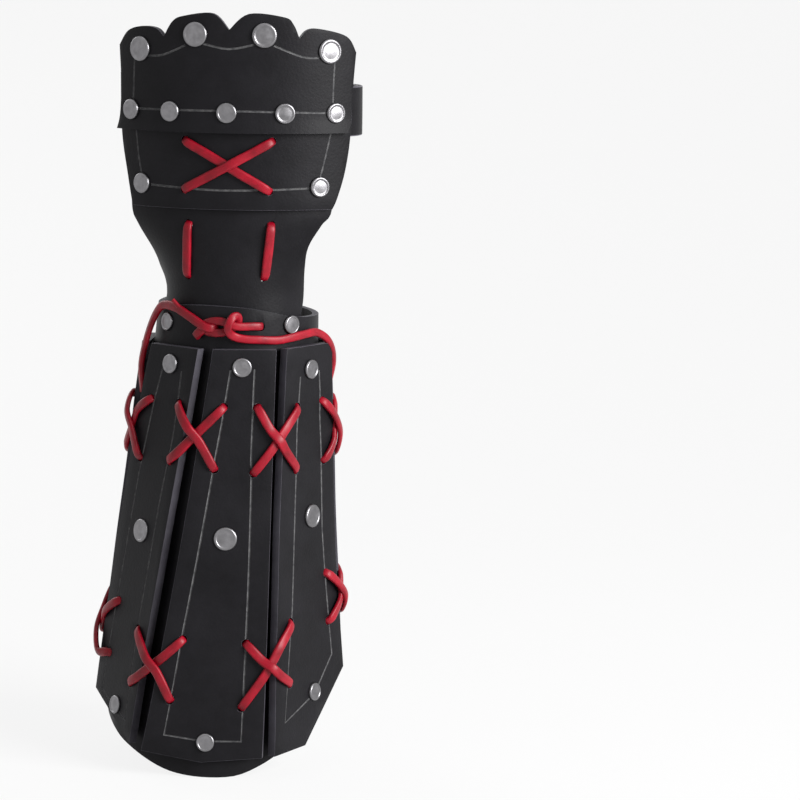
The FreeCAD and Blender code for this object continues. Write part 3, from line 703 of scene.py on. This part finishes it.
# Hand guard
handPlate = {
    "left": ((-50, 352), (-49, 322), (-46, 301), (-43.4, 285.5)),
    "right": ((57, 285.5), (59.5, 291), (63.5, 305), (66, 324), (66.5, 352)),
    "crossHoles": ((-17, 320), (26.6, 320), (-17.3, 295), (25.2, 295)),
    "lines": (((-42, 326), (-40.5, 312), (-38.9, 302)), ((56.5, 326), (53.5, 312), (51, 302)),
              ((-34, 296.6), (1, 295.2), (46, 296.4))),
    "wave": (11, 0.4),
    "cuts": (3, 7),
}
knuckle = {
    "left": ((-50.5, 324), (-49.5, 345), (-50.3, 366)),
    "lobes": (((-50.3, 366), (-46, 373.2), (-39, 375.8), (-31.8, 375), (-27.8, 371)),
              ((-27.8, 371), (-23.6, 378.6), (-17.8, 381.6), (-3.4, 383), (4.6, 375)),
              ((4.6, 375), (14.3, 383), (31.9, 381.6), (36.6, 378), (39.6, 371)),
              ((39.6, 371), (43.6, 375.2), (50, 375.8), (63.3, 372), (68.2, 364))),
    "right": ((68.2, 364), (66.8, 347), (65.5, 324)),
    "lines": (((-44, 334.5), (-24.4, 334.8), (3.7, 335), (32.7, 334.6), (58, 334)),
              ((-42.6, 359), (-43, 348), (-43.2, 338)), ((57.6, 359), (57, 348), (56.8, 338)),
              ((-37, 361), (-28, 362), (-17, 367)), ((-8, 368), (4.7, 365.6), (17.5, 368)),
              ((27, 367.5), (41.2, 362), (51, 361.5))),
    "flare": 1.5,
    "flareBand": 9,
    "wave": (12, 0.4),
    "cuts": (3, 5),
}
smoothSteps = {"edge": 5, "lobe": 6, "line": 4}  # steps between two points


def handAngle(x, radius):
    return math.degrees(math.asin((x - hand["middle"][0]) / radius))


def handPoint(angle, height, radius):
    return Vector((*hand["middle"], height)) + facing(angle) * radius


def onHand(points, radius):
    # Front-view points as points of a flat pattern
    return [(math.radians(handAngle(x, radius)) * radius, z) for x, z in points]


def handHoles(places, radius, hole):
    return [(u, v, hole, hole) for u, v in onHand(places, radius)]


def handLines(lines, radius):
    return [onHand(smoothLine(line, smoothSteps["line"]), radius) for line in lines]


def makeHandPlate():
    radius = hand["radius"]
    outline = []
    for side in ("left", "right"):
        outline += smoothLine(handPlate[side], smoothSteps["edge"])

    def place(u, v, w):
        return handPoint(math.degrees(u / radius), v, radius + w + ripple(u, v, *handPlate["wave"]))

    holes = handHoles(handPlate["crossHoles"], radius, handLaceHole)
    for group in ("hand_plate_rivets", "knuckle_row_rivets"):
        holes += handHoles(handRivets[group][1], radius, rivetHole)
    makeSheet("hand_plate", onHand(outline, radius), hand["plateWall"], place, holes,
              handLines(handPlate["lines"], radius), handPlate["cuts"], "hand")


def makeKnucklePlate():
    radius = hand["knuckleRadius"]
    outline = smoothLine(knuckle["left"], smoothSteps["edge"])
    for lobe in knuckle["lobes"]:
        outline += smoothLine(lobe, smoothSteps["lobe"])[1:]
    outline += smoothLine(knuckle["right"], smoothSteps["edge"])[1:]

    def place(u, v, w):
        low = max(0, 1 - (v - hand["lipHeight"]) / knuckle["flareBand"])
        out = knuckle["flare"] * low * low + ripple(u, v, *knuckle["wave"])
        return handPoint(math.degrees(u / radius), v, radius + w + out)

    holes = []
    for group in ("knuckle_rivets", "knuckle_row_rivets"):
        holes += handHoles(handRivets[group][1], radius, rivetHole)
    makeSheet("knuckle_plate", onHand(outline, radius), hand["knuckleWall"], place, holes,
              handLines(knuckle["lines"], radius), knuckle["cuts"], "hand")


makeHandPlate()
makeKnucklePlate()

# Wrist tongue: it follows the shell's inside at its foot and the hand plate's at its top
tongue = {
    "wall": 3,
    "bendLow": 239,
    "bendHigh": 283.5,
    "left": ((-22, 221), (-27, 237), (-29.5, 252), (-33, 262), (-41, 276), (-44, 285.5), (-44, 315)),
    "right": ((57, 315), (57, 285.5), (51.7, 277), (45.4, 266), (43.7, 254), (43, 237), (40, 221)),
    "stitches": ((-14.8, 278), (-15.2, 251), (26.2, 278), (23.2, 251)),
    "farthest": 0.985,  # an edge stops at this share of the radius from the middle
    "wave": (13, 0.5),
    "cuts": (2.5, 4),
}


def tongueCurve(height):
    share = min(1, max(0, (height - tongue["bendLow"]) / (tongue["bendHigh"] - tongue["bendLow"])))
    turned = share * share * (3 - 2 * share)
    footRadius = armRadius(height) - arm["wall"] - arm["gap"]
    radius = 1 / ((1 - turned) / footRadius + turned / hand["underRadius"])
    angle = (1 - turned) * arm["facing"] + turned * hand["facing"]
    footFront = armMiddle(height) + facing(arm["facing"]) * footRadius
    topFront = handPoint(hand["facing"], height, hand["underRadius"])
    return footFront * (1 - turned) + topFront * turned - facing(angle) * radius, radius


def tongueAngle(x, height):
    middle, radius = tongueCurve(height)
    reach = max(-tongue["farthest"], min(tongue["farthest"], (x - middle.x) / radius))
    return math.degrees(math.asin(reach))


def tonguePoint(angle, height, out=0.0):
    middle, radius = tongueCurve(height)
    return middle + facing(angle) * (radius + out)


def makeTongue():
    outline = []
    for side in ("left", "right"):
        outline += smoothLine(tongue[side], smoothSteps["edge"])
    pattern = [(tongueAngle(x, z) * flatPerDegree, z) for x, z in outline]

    def place(u, v, w):
        return tonguePoint(u / flatPerDegree, v, w + ripple(u, v, *tongue["wave"]))

    drilled = [(place, handLaceHole) for place in tongue["stitches"] + handPlate["crossHoles"][2:]]
    drilled += [(place, rivetHole) for place in handRivets["hand_plate_rivets"][1]]
    drilled.append((tieHole, laceHole))
    drilled += [(place, rivetHole) for place in wristRivets[1]]
    holes = [roundHole(tongueAngle(x, height), height, tongueCurve(height)[1], size)
             for (x, height), size in drilled]
    makeSheet("wrist_tongue", pattern, tongue["wall"], place, holes, (), tongue["cuts"], "neck")


makeTongue()

# Palm strap
strap = {"wall": 3, "width": 25, "sideRadius": 20, "palmDepth": 20, "endRound": 7, "cornerSteps": 6,
         "tabClearances": (4.9, 7.9), "wave": (14, 0.5), "calmEnd": 40, "cuts": (3, 6)}


def strapRoute():
    # Arcs as (middle, radius, first angle, last angle), from the left tab round the palm to the right one
    middleLine = hand["underRadius"] - strap["wall"] / 2
    left = hand["facing"] - hand["halfAngle"]
    right = hand["facing"] + hand["halfAngle"]
    center = Vector((*hand["middle"], 0))
    inner = hand["radius"] - hand["plateWall"]
    row = handRivets["knuckle_row_rivets"][1]
    leftEnd = handAngle(row[1][0], hand["knuckleRadius"]) - math.degrees(strap["tabClearances"][0] / inner)
    rightEnd = handAngle(row[3][0], hand["knuckleRadius"]) + math.degrees(strap["tabClearances"][1] / inner)
    side = strap["sideRadius"]
    leftPivot = center + facing(left) * (middleLine - side)
    rightPivot = center + facing(right) * (middleLine - side)
    leftPalm = strap["palmDepth"] - leftPivot.y
    rightPalm = strap["palmDepth"] - rightPivot.y
    leftPalmPivot = Vector((leftPivot.x - side + leftPalm, leftPivot.y, 0))
    rightPalmPivot = Vector((rightPivot.x + side - rightPalm, rightPivot.y, 0))
    return [(center, middleLine, leftEnd, left), (leftPivot, side, left, -90),
            (leftPalmPivot, leftPalm, -90, -180),
            (rightPalmPivot - leftPalmPivot, leftPalmPivot + Vector((0, leftPalm, 0))),
            (rightPalmPivot, rightPalm, 180, 90), (rightPivot, side, 90, right),
            (center, middleLine, right, rightEnd)]


def makeStrap():
    spans = []
    for leg in strapRoute():
        length = leg[0].length if len(leg) == 2 else abs(math.radians(leg[3] - leg[2])) * leg[1]
        spans.append((length, leg))
    total = sum(length for length, leg in spans)
    half = strap["width"] / 2
    curve = strap["endRound"]
    steps = strap["cornerSteps"]
    row = hand["rowHeight"]

    def place(u, v, w):
        along = min(max(u, 0), total)
        for length, leg in spans:
            if along <= length or leg is spans[-1][1]:
                break
            along -= length
        share = along / length
        calm = min(1, min(u, total - u) / strap["calmEnd"])
        out = w + strap["wall"] / 2 + ripple(u, v, *strap["wave"]) * calm
        if len(leg) == 2:
            flat = leg[1] + leg[0] * share + Vector((0, out, 0))
        else:
            middle, radius, first, last = leg
            flat = middle + facing(first + (last - first) * share) * (radius + out)
        return Vector((flat.x, flat.y, v))

    corner = [(curve * (1 - math.cos(t)), curve * (1 - math.sin(t)))
              for t in [math.pi / 2 * i / steps for i in range(steps + 1)]]
    outline = [(u, row - half + v) for u, v in corner]
    outline += [(total - u, row - half + v) for u, v in corner[::-1]]
    outline += [(total - u, row + half - v) for u, v in corner]
    outline += [(u, row + half - v) for u, v in corner[::-1]]
    ends = handRivets["knuckle_row_rivets"][1]
    leftTab = strapRoute()[0]
    rightTab = strapRoute()[-1]
    leftU = math.radians(leftTab[2] - handAngle(ends[0][0], hand["knuckleRadius"])) * leftTab[1]
    rightU = total - math.radians(handAngle(ends[-1][0], hand["knuckleRadius"]) - rightTab[3]) * rightTab[1]
    holes = [(u, row, rivetHole, rivetHole) for u in (leftU, rightU)]
    makeSheet("palm_strap", outline, strap["wall"], place, holes, (), strap["cuts"], "hand")


makeStrap()
print("leather ready")

# Rivets: one turned shape, copied to each place
rivet = {
    "capHeight": 1.4,
    "backRadius": 4,
    "backHeight": 1,
    "postRadius": 1.5,
    "steps": 40,
    "weld": 0.001,
    "seat": 0.1,
    "backSeat": 0.45,
    "capSpin": 47,  # degrees from one rivet's grain to the next one's
    "backSpin": 31,
    "cap": ((1, 0), (1.0, 0.3), (0.985, 0.55), (0.95, 0.78), (0.9, 0.93), (0.84, 1.0), (0.79, 0.98),
            (0.755, 0.86), (0.73, 0.8), (0.6, 0.84), (0.4, 0.9), (0.2, 0.94), (0, 0.95)),
    "back": ((1, 0), (1, 0.35), (0.94, 0.7), (0.8, 0.93), (0.55, 1.0), (0.45, 0.9), (0.38, 0.72),
             (0.2, 0.7), (0, 0.7)),
}
joinedAngle = 40


def turned(name, profile, finish):
    # A profile of (radius, height) spun once round
    deselect()
    bpy.ops.mesh.primitive_circle_add(vertices=len(profile), radius=1, fill_type="NOTHING")
    piece = bpy.context.object
    piece.name = name
    for corner, (radius, height) in zip(piece.data.vertices, profile):
        corner.co = (radius, 0, height)
    editEdge(piece, (0, len(profile) - 1))
    bpy.ops.mesh.delete(type="EDGE")
    bpy.ops.mesh.select_all(action="SELECT")
    bpy.ops.mesh.spin(steps=rivet["steps"], angle=math.tau, center=(0, 0, 0), axis=(0, 0, 1))
    bpy.ops.mesh.select_all(action="SELECT")
    bpy.ops.mesh.remove_doubles(threshold=rivet["weld"])
    faceOutwards()
    piece.data.materials.append(finish)
    return piece


def capProfile(radius, stack):
    post = rivet["postRadius"]
    face = [(radius * r, rivet["capHeight"] * h) for r, h in rivet["cap"]]
    return [(0, -stack), (post, -stack), (post, 0), *face]


def backProfile():
    return [(0, 0)] + [(rivet["backRadius"] * r, rivet["backHeight"] * h) for r, h in rivet["back"]]


def putOnNormal(piece, point, normal, spin):
    # Stands a turned piece on a surface, turned about its own axis by spin degrees
    side = up.cross(normal).normalized()
    other = normal.cross(side)
    turn = math.radians(spin)
    for corner in piece.data.vertices:
        x, y, z = corner.co
        a = x * math.cos(turn) - y * math.sin(turn)
        b = x * math.sin(turn) + y * math.cos(turn)
        corner.co = (point + side * a + other * b + normal * z) * mm


def joined(name, pieces, nodes, body):
    deselect()
    for piece in pieces:
        piece.select_set(True)
    bpy.context.view_layer.objects.active = pieces[0]
    bpy.ops.object.join()
    whole = bpy.context.object
    whole.name = name
    bpy.ops.object.shade_smooth_by_angle(angle=math.radians(joinedAngle))
    handOver(whole, nodes, body)


def makeRivets(group, radius, seats, body):
    # Each seat is (point, normal, stack of leather under the cap)
    caps = []
    backs = []
    for number, (point, normal, stack) in enumerate(seats):
        cap = turned(group, capProfile(radius, stack), nickel)
        putOnNormal(cap, point + normal * rivet["seat"], normal, rivet["capSpin"] * number)
        caps.append(cap)
        back = turned(group, backProfile(), nickelBack)
        putOnNormal(back, point - normal * stack, -normal, rivet["backSpin"] * number)
        backs.append(back)
    joined(group, caps, [group], body)
    joined(group + "_backs", backs, [group + "_backs"], body)


def depthToShellInside(point, normal):
    # The level distance from a point on a slat to the shell's inner face
    flat = Vector((-normal.x, -normal.y, 0)).normalized()
    reach = point - armMiddle(point.z)
    inner = armRadius(point.z) - arm["wall"]
    along = reach.dot(flat)
    return -along - math.sqrt(along ** 2 - reach.dot(reach) + inner ** 2)


def slatSeat(slat, offset, height):
    point = slatPoint(slat, offset, height)
    normal = slatNormal(slat, offset, height)
    return point, normal, depthToShellInside(point, normal) + rivet["backSeat"]


def handSeat(x, height, radius, inside):
    angle = handAngle(x, radius)
    return handPoint(angle, height, radius), facing(angle), radius - inside + rivet["backSeat"]


def onShell(x, height):
    # The point and the normal of the shell's face at a place of the front view
    angle = frontAngle(x, height)
    rise = shellPoint(angle, height + 1) - shellPoint(angle, height - 1)
    return shellPoint(angle, height), across(angle).cross(rise).normalized()


def makeAllRivets():
    for group, (radius, places) in slatRivets.items():
        makeRivets(group, radius, [slatSeat(*place) for place in places], "forearm")
    stack = arm["wall"] + arm["gap"] + tongue["wall"] + rivet["backSeat"]
    radius, places = wristRivets
    makeRivets("wrist_rivets", radius, [(*onShell(*place), stack) for place in places], "forearm")
    knuckleInside = hand["knuckleRadius"] - hand["knuckleWall"]
    plateInside = hand["radius"] - hand["plateWall"]
    strapInside = hand["underRadius"] - strap["wall"]
    tongueInside = hand["underRadius"] - tongue["wall"]
    # The leather's outer radius, and its inner ones under the group's end rivets and under the others
    layers = {"knuckle_rivets": (hand["knuckleRadius"], knuckleInside, knuckleInside),
              "knuckle_row_rivets": (hand["knuckleRadius"], strapInside, plateInside),
              "hand_plate_rivets": (hand["radius"], tongueInside, tongueInside)}
    for group, (radius, places) in handRivets.items():
        outside, endInside, inside = layers[group]
        seats = []
        for place in places:
            atEnd = place in (places[0], places[-1])
            seats.append(handSeat(*place, outside, endInside if atEnd else inside))
        makeRivets(group, radius, seats, "hand")


makeAllRivets()
print("rivets ready")


# Laces: a flat strip swept along its route
lace = {
    "width": 4.7,
    "thickness": 2.5,
    "tieWidth": 4.4,
    "tieThickness": 2.8,
    "sides": 20,
    "squareness": (0.6, 0.7),  # 1 is an oval strip, 0 a square-edged one
    "step": 0.8,
    "shortest": 0.05,  # the least distance that two stops count as apart
    "fray": 0.05,
    "frayLength": 9,
    "smoothAngle": 55,
    "lie": 1.25,  # the lace's middle above the leather that it lies on
    "behind": (1.5, -0.3),  # where it starts: past the leather's inside, and along it
    "hole": ((-1.5, -0.35, 0.9), (0.5, 0.65, 0.86), (1.3, 2.7, 0.97)),  # (out, along, share of the width)
}


def laceSection(width, thickness):
    section = []
    for i in range(lace["sides"]):
        turn = math.tau * i / lace["sides"]
        corner = zip((math.cos(turn), math.sin(turn)), (width / 2, thickness / 2), lace["squareness"])
        section.append([half * math.copysign(abs(c) ** power, c) for c, half, power in corner])
    return section


def between(a, b, low, high, t):
    return a * ((high - t) / (high - low)) + b * ((t - low) / (high - low))


def routePoints(stops):
    # Stops are (point, width direction, share of the width); the line through them is smooth
    places = [stop[0] for stop in stops]
    wides = [stop[1].normalized() for stop in stops]
    shares = [stop[2] if len(stop) > 2 else 1.0 for stop in stops]
    for i in range(1, len(wides)):
        if wides[i].dot(wides[i - 1]) < 0:
            wides[i] = -wides[i]
    ends = [places[0] * 2 - places[1], *places, places[-1] * 2 - places[-2]]
    rings = []
    for i in range(len(places) - 1):
        near = ends[i:i + 4]
        knots = [0.0]
        for a, b in zip(near, near[1:]):
            knots.append(knots[-1] + math.sqrt(max(lace["shortest"], (b - a).length)))
        count = max(2, round((near[2] - near[1]).length / lace["step"]))
        for step in range(count):
            t = knots[1] + (knots[2] - knots[1]) * step / count
            lines = [between(near[k], near[k + 1], knots[k], knots[k + 1], t) for k in range(3)]
            bends = [between(lines[k], lines[k + 1], knots[k], knots[k + 2], t) for k in range(2)]
            rings.append((between(*bends, knots[1], knots[2], t),
                          wides[i].lerp(wides[i + 1], step / count),
                          shares[i] + (shares[i + 1] - shares[i]) * step / count))
    rings.append((places[-1], wides[-1], shares[-1]))
    return rings


def sweepLace(name, stops, width, thickness):
    rings = routePoints(stops)
    section = laceSection(width, thickness)
    sides = len(section)
    corners = []
    travelled = [0.0]
    for i, (point, wide, share) in enumerate(rings):
        ahead = rings[min(i + 1, len(rings) - 1)][0] - rings[max(i - 1, 0)][0]
        along = ahead.normalized()
        side = (wide - along * wide.dot(along)).normalized()
        out = side.cross(along)
        if i:
            travelled.append(travelled[-1] + (point - rings[i - 1][0]).length)
        fray = noise.noise(Vector((travelled[-1] / lace["frayLength"], len(name), 0)))
        fray = share * (1 + lace["fray"] * fray)
        corners += [(point + side * a * fray + out * b) * mm for a, b in section]
    faces = []
    marks = []
    for i in range(len(rings) - 1):
        for j in range(sides):
            turns = ((i, j), (i + 1, j), (i + 1, j + 1), (i, j + 1))
            faces.append([ring * sides + place % sides for ring, place in turns])
            marks += [(place * width * 2 / sides * mm, travelled[ring] * mm) for ring, place in turns]
    faces.append(tuple(range(sides)))
    faces.append(tuple(range((len(rings) - 1) * sides, len(rings) * sides))[::-1])
    marks += [(a * mm, b * mm) for a, b in section] * 2
    mesh = bpy.data.meshes.new(name)
    mesh.from_pydata(corners, [], faces)
    layer = mesh.uv_layers.new(name="route")
    for loop, mark in zip(layer.data, marks):
        loop.uv = mark
    mesh.materials.append(redLace)
    piece = bpy.data.objects.new(name, mesh)
    bpy.context.scene.collection.objects.link(piece)
    choose(piece)
    edit("SELECT")
    faceOutwards()
    bpy.ops.object.shade_smooth_by_angle(angle=math.radians(lace["smoothAngle"]))
    print("lace", name, round(travelled[-1]), "mm", len(faces), "faces")
    return piece


def makeLace(name, stops, body):
    piece = sweepLace(name, stops, lace["width"], lace["thickness"])
    handOver(piece, [name], body)


def throughHole(point, normal, direction, depth, wide):
    # From behind the leather, up through its hole and over the rim towards direction
    along = (direction - normal * direction.dot(normal)).normalized()
    behind, start = lace["behind"]
    stops = [(point - normal * (depth + behind) + along * start, wide)]
    return stops + [(point + normal * out + along * on, wide, share) for out, on, share in lace["hole"]]


# Where two strands cross between slats, the one that starts high runs over the other
crossing = {
    "pastEdge": 0.8,
    "overTurn": 0.8,
    "overMiddle": 2.2,
    "underMiddle": 0.2,
    "straight": (0.1, 0.9, 0.9, 0.1),  # 1 looks straight from the front, 0 is pulled tight
}


def slatStrand(first, second, over, straight):
    start = slatPoint(*first)
    end = slatPoint(*second)
    startNormal = slatNormal(*first)
    endNormal = slatNormal(*second)
    startEdge = level(slats["rights"][first[0]], first[2], slats["heights"])
    endEdge = level(slats["lefts"][second[0]], second[2], slats["heights"])
    gap = (slatPoint(second[0], endEdge, second[2]) - slatPoint(first[0], startEdge, first[2])).length
    total = startEdge - first[1] + gap + second[1] - endEdge
    fall = (second[2] - first[2]) / total
    slope = (second[2] - first[2]) / (end.x - start.x)
    turns = []
    past = crossing["pastEdge"]
    for slat, offset, height in ((first[0], startEdge - past, first[2] + fall * (startEdge - first[1])),
                                 (second[0], endEdge + past, second[2] - fall * (second[1] - endEdge))):
        seen = first[2] + slope * (slatPoint(slat, offset, height).x - start.x)
        turns.append((slat, offset, height + straight * (seen - height)))
    startTurn, endTurn = turns
    lie = lace["lie"] + (crossing["overTurn"] if over else 0)
    a = slatPoint(*startTurn) + startNormal * lie
    b = slatPoint(*endTurn) + endNormal * lie
    outward = (startNormal + endNormal).normalized()
    middle = (a + b) / 2 + outward * crossing["overMiddle" if over else "underMiddle"]
    wide = outward.cross(b - a).normalized()
    startDepth = depthToShellInside(start, startNormal)
    endDepth = depthToShellInside(end, endNormal)
    stops = throughHole(start, startNormal, a - start, startDepth, startNormal.cross(a - start))
    stops += [(a, wide), (middle, wide), (b, wide)]
    stops += throughHole(end, endNormal, b - end, endDepth, endNormal.cross(end - b))[::-1]
    return stops


def makeRowLace(name, row, high):
    stops = []
    for number, straight in enumerate(crossing["straight"]):
        first = row["top" if high else "low"][2 * number]
        second = row["low" if high else "top"][2 * number + 1]
        stops += slatStrand(first, second, high, straight)
        high = not high
    makeLace(name, stops, "forearm")


for rowName, row in rows.items():
    makeRowLace(rowName + "_a", row, True)
    makeRowLace(rowName + "_b", row, False)


def makeClosureLace():
    stops = []
    side = -1
    for height in closure["heights"]:
        ends = []
        for current in (side, -side):
            angle = closureAngle(current, height)
            point = shellPoint(angle, height)
            turn = shellPoint(arm["facing"] + current * arm["halfAngle"], height, closure["lift"])
            ends.append(throughHole(point, facing(angle), turn - point, arm["wall"], up) + [(turn, up)])
        stops += ends[0] + ends[1][::-1]
        side = -side
    makeLace("closure_lace", stops, "forearm")


makeClosureLace()

handLace = {"crossShares": (0.25, 0.5, 0.75), "crossFall": 2.6, "overLift": 2.6, "underLift": 0.1,
            "stitchLift": 1.5}


def onPlate(x, height):
    angle = handAngle(x, hand["radius"])
    return handPoint(angle, height, hand["radius"]), facing(angle)


def onTongue(x, height):
    angle = tongueAngle(x, height)
    return tonguePoint(angle, height), facing(angle)


def handRun(first, second, depths, lift):
    # In front of the leather from one hole to another: a stitch, or with a lift a side of the cross
    (start, startNormal), (end, endNormal) = first, second
    outward = (startNormal + endNormal).normalized()
    wide = outward.cross(end - start).normalized()
    run = throughHole(start, startNormal, end - start, depths[0], wide)
    if lift is None:
        run.append(((start + end) / 2 + outward * handLace["stitchLift"], wide))
    else:
        for share in handLace["crossShares"]:
            seen = start.lerp(end, share)
            place, normal = onPlate(seen.x, seen.z)
            raised = lift * (1 - abs(share - 0.5) * handLace["crossFall"])
            run.append((place + normal * (lace["lie"] + max(0, raised)), wide))
    return run + throughHole(end, endNormal, start - end, depths[1], wide)[::-1]


def makeHandLace():
    leftHead, leftFoot, rightHead, rightFoot = [onTongue(*place) for place in tongue["stitches"]]
    topLeft, topRight, lowLeft, lowRight = [onPlate(*place) for place in handPlate["crossHoles"]]
    wall = tongue["wall"]
    plateWall = hand["plateWall"]
    lowDepth = hand["radius"] - (hand["underRadius"] - wall)
    stops = handRun(leftFoot, leftHead, (wall, wall), None)
    stops += handRun(lowLeft, topRight, (lowDepth, plateWall), handLace["overLift"])
    stops += handRun(topLeft, lowRight, (plateWall, lowDepth), handLace["underLift"])
    stops += handRun(rightHead, rightFoot, (wall, wall), None)
    makeLace("hand_lace", stops, "neck")


makeHandLace()

# Wrist tie: left and right are (angle, height, how far the middle stands off the shell), and the
# others (x, height, how far it stands off)
tie = {
    "stub": ((21.9, 227, -8), (21.8, 227, -1.5), (20.9, 227.1, 0.9), (17.8, 227.3, 1.7),
             (13.5, 227.2, 2.4), (9.4, 227.4, 3.4), (6, 228.4, 3.8), (2.6, 229.6, 3.0),
             (-1.4, 229.6, 2.2), (-5.2, 228.4, 1.6), (-7.6, 226.6, 0.8)),
    "left": ((-73, 190, 5.2), (-73.3, 204, 7.4), (-73.3, 216, 6.2), (-72.5, 225.5, 4.2),
             (-69.5, 231.5, 2.6)),
    "over": ((-26.4, 234.8, 1.8), (-20, 234.9, 1.8), (-13.4, 231.4, 2.3), (-8.2, 228.4, 3.4),
             (-5, 226.6, 4.2), (-2.4, 226, 3.6), (-0.4, 226.2, 0.8)),
    "lobe": ((-2.6, 228.6, 0.9), (-4.6, 226.9, 2.2), (-6.8, 224.9, 2.9), (-8.9, 223, 2.4),
             (-10.2, 221.6, 1.5)),
    "loop": ((-7.4, 225.4, 1.2), (-4, 224.2, 2.3), (0, 223.8, 2.7), (3.6, 224.4, 1.6), (7.6, 226.4, 1.1),
             (10, 229.4, 1.3), (9.9, 232.2, 2.9), (8, 232.2, 5.4), (6.4, 229.2, 6.6), (5.6, 226, 6.1),
             (6.6, 223.4, 4), (9.8, 221.6, 2.2), (14, 220.8, 1.7)),
    "right": ((16, 220.4, 1.5), (28, 219.9, 1.5), (40, 220.8, 1.6), (52, 221.8, 2.2),
              (62, 222, 3.4), (70, 218.5, 6.3), (75, 213, 8.2), (77, 206, 8.6), (78, 194, 6)),
    "tail": ((-16, 232.2, 1.2), (-17.4, 234.4, 2.2), (-18.6, 236.6, 3.2), (-19.6, 238.8, 4.4)),
}


def lengthwise(points):
    # Stops from (point, normal) pairs, with the width in the surface and square to the run
    stops = []
    for i, (point, normal) in enumerate(points):
        ahead = points[min(i + 1, len(points) - 1)][0] - points[max(i - 1, 0)][0]
        stops.append((point, normal.cross(ahead)))
    return stops


def frontStops(route):
    points = []
    for x, height, out in route:
        point, normal = onShell(x, height)
        points.append((point + normal * out, normal))
    return lengthwise(points)


def roundStops(route):
    return lengthwise([(shellPoint(angle, height, out), facing(angle)) for angle, height, out in route])


def makeTie():
    # Each length has its shares of the tie's width and thickness
    lengths = (("tieStub", frontStops(tie["stub"]), 0.92, 1),
               ("tieLeft", roundStops(tie["left"]) + frontStops(tie["over"]), 1, 1),
               ("tieLobe", frontStops(tie["lobe"]), 1.05, 0.9),
               ("tieRight", frontStops(tie["loop"]) + roundStops(tie["right"]), 0.95, 1),
               ("tieTail", frontStops(tie["tail"]), 0.5, 0.6))
    pieces = [sweepLace(name, stops, lace["tieWidth"] * wide, lace["tieThickness"] * thick)
              for name, stops, wide, thick in lengths]
    joined("wrist_tie", pieces, ["tie_lace", "tie_knot"], "forearm")


makeTie()
print("laces ready")

# Studio
studio = {
    "floorSize": 9,
    "backDistance": 2.6,
    "curve": 1.9,
    "curveSegments": 24,
    "curveAngle": 50,
    "cloth": (3, 2),
    "clothTones": ((0.78, 0.78, 0.78, 1), (0.82, 0.82, 0.82, 1)),
    "clothRoughness": 0.9,
    "pale": 1.0,
    "glow": 0.86,
    "sky": 1.0,
    "world": 0.13,
    "aim": (0, 0, 0.2),
    "lamps": {"key": (1.25, -1.0, 0.8, 0.9, 46), "fill": (-1.5, -1.1, 0.5, 1.4, 0.6),
              "top": (0, 0.2, 1.7, 1.2, 4), "rim": (-0.9, 1.2, 0.9, 0.8, 6)},  # (x, y, z, size, power)
}


def seenRays(tree):
    # 1 for rays that show the background itself: to the camera, off metal or through a gap
    rays = tree.nodes.new("ShaderNodeLightPath")
    camera, glossy, through = [Signal(tree, rays.outputs[name])
                               for name in ("Is Camera Ray", "Is Glossy Ray", "Is Transmission Ray")]
    return camera + glossy + through


def makeStudio():
    size = studio["floorSize"]
    deselect()
    bpy.ops.mesh.primitive_plane_add(size=1, location=(0, 0, 0))
    floor = bpy.context.object
    floor.name = "floor"
    for corner in floor.data.vertices:
        corner.co = (corner.co.x * size, studio["backDistance"] if corner.co.y > 0 else -size / 2, 0)
    editEdge(floor, [corner.index for corner in floor.data.vertices if corner.co.y > 0])
    bpy.ops.mesh.extrude_region_move(TRANSFORM_OT_translate={"value": (0, 0, size / 2)})
    bpy.ops.object.mode_set(mode="OBJECT")
    applyModifier(floor, "BEVEL", {"width": studio["curve"], "segments": studio["curveSegments"],
                                   "limit_method": "ANGLE",
                                   "angle_limit": math.radians(studio["curveAngle"])})
    bpy.ops.object.shade_smooth()
    f = Finish("paleBackdrop")
    cloth = f.noise(f.node("TexCoord", output="Object"), *studio["cloth"])
    tone = f.mixColor(cloth, *studio["clothTones"])
    f.surface({"Base Color": tone, "Roughness": studio["clothRoughness"]})
    glow = f.node("Emission", None, {"Color": (1, 1, 1, 1), "Strength": studio["pale"]})
    mixed = f.node("MixShader", None, {0: seenRays(f.tree) * studio["glow"], 2: glow,
                                       1: Signal(f.tree, f.shader.outputs[0])})
    f.tree.links.new(mixed.socket, f.tree.nodes["Material Output"].inputs["Surface"])
    floor.data.materials.append(f.material)


def makeLight(name, x, y, z, size, power):
    data = bpy.data.lights.new(name, "AREA")
    data.shape = "SQUARE"
    data.size = size
    data.energy = power
    lamp = bpy.data.objects.new(name, data)
    bpy.context.scene.collection.objects.link(lamp)
    lamp.location = (x, y, z)
    lamp.rotation_euler = (Vector(studio["aim"]) - lamp.location).to_track_quat("-Z", "Y").to_euler()


def makeWorld():
    world = bpy.data.worlds.new("studio")
    bpy.context.scene.world = world
    world.use_nodes = True
    tree = world.node_tree
    background = tree.nodes["Background"]
    background.inputs["Color"].default_value = (1, 1, 1, 1)
    seen = seenRays(tree)
    feed(tree, background.inputs["Strength"], seen * (studio["sky"] - studio["world"]) + studio["world"])


makeStudio()
for lampName, lampSetup in studio["lamps"].items():
    makeLight(lampName, *lampSetup)
makeWorld()
makeCamera()
bpy.context.scene.view_settings.view_transform = "Standard"

print("all ready")
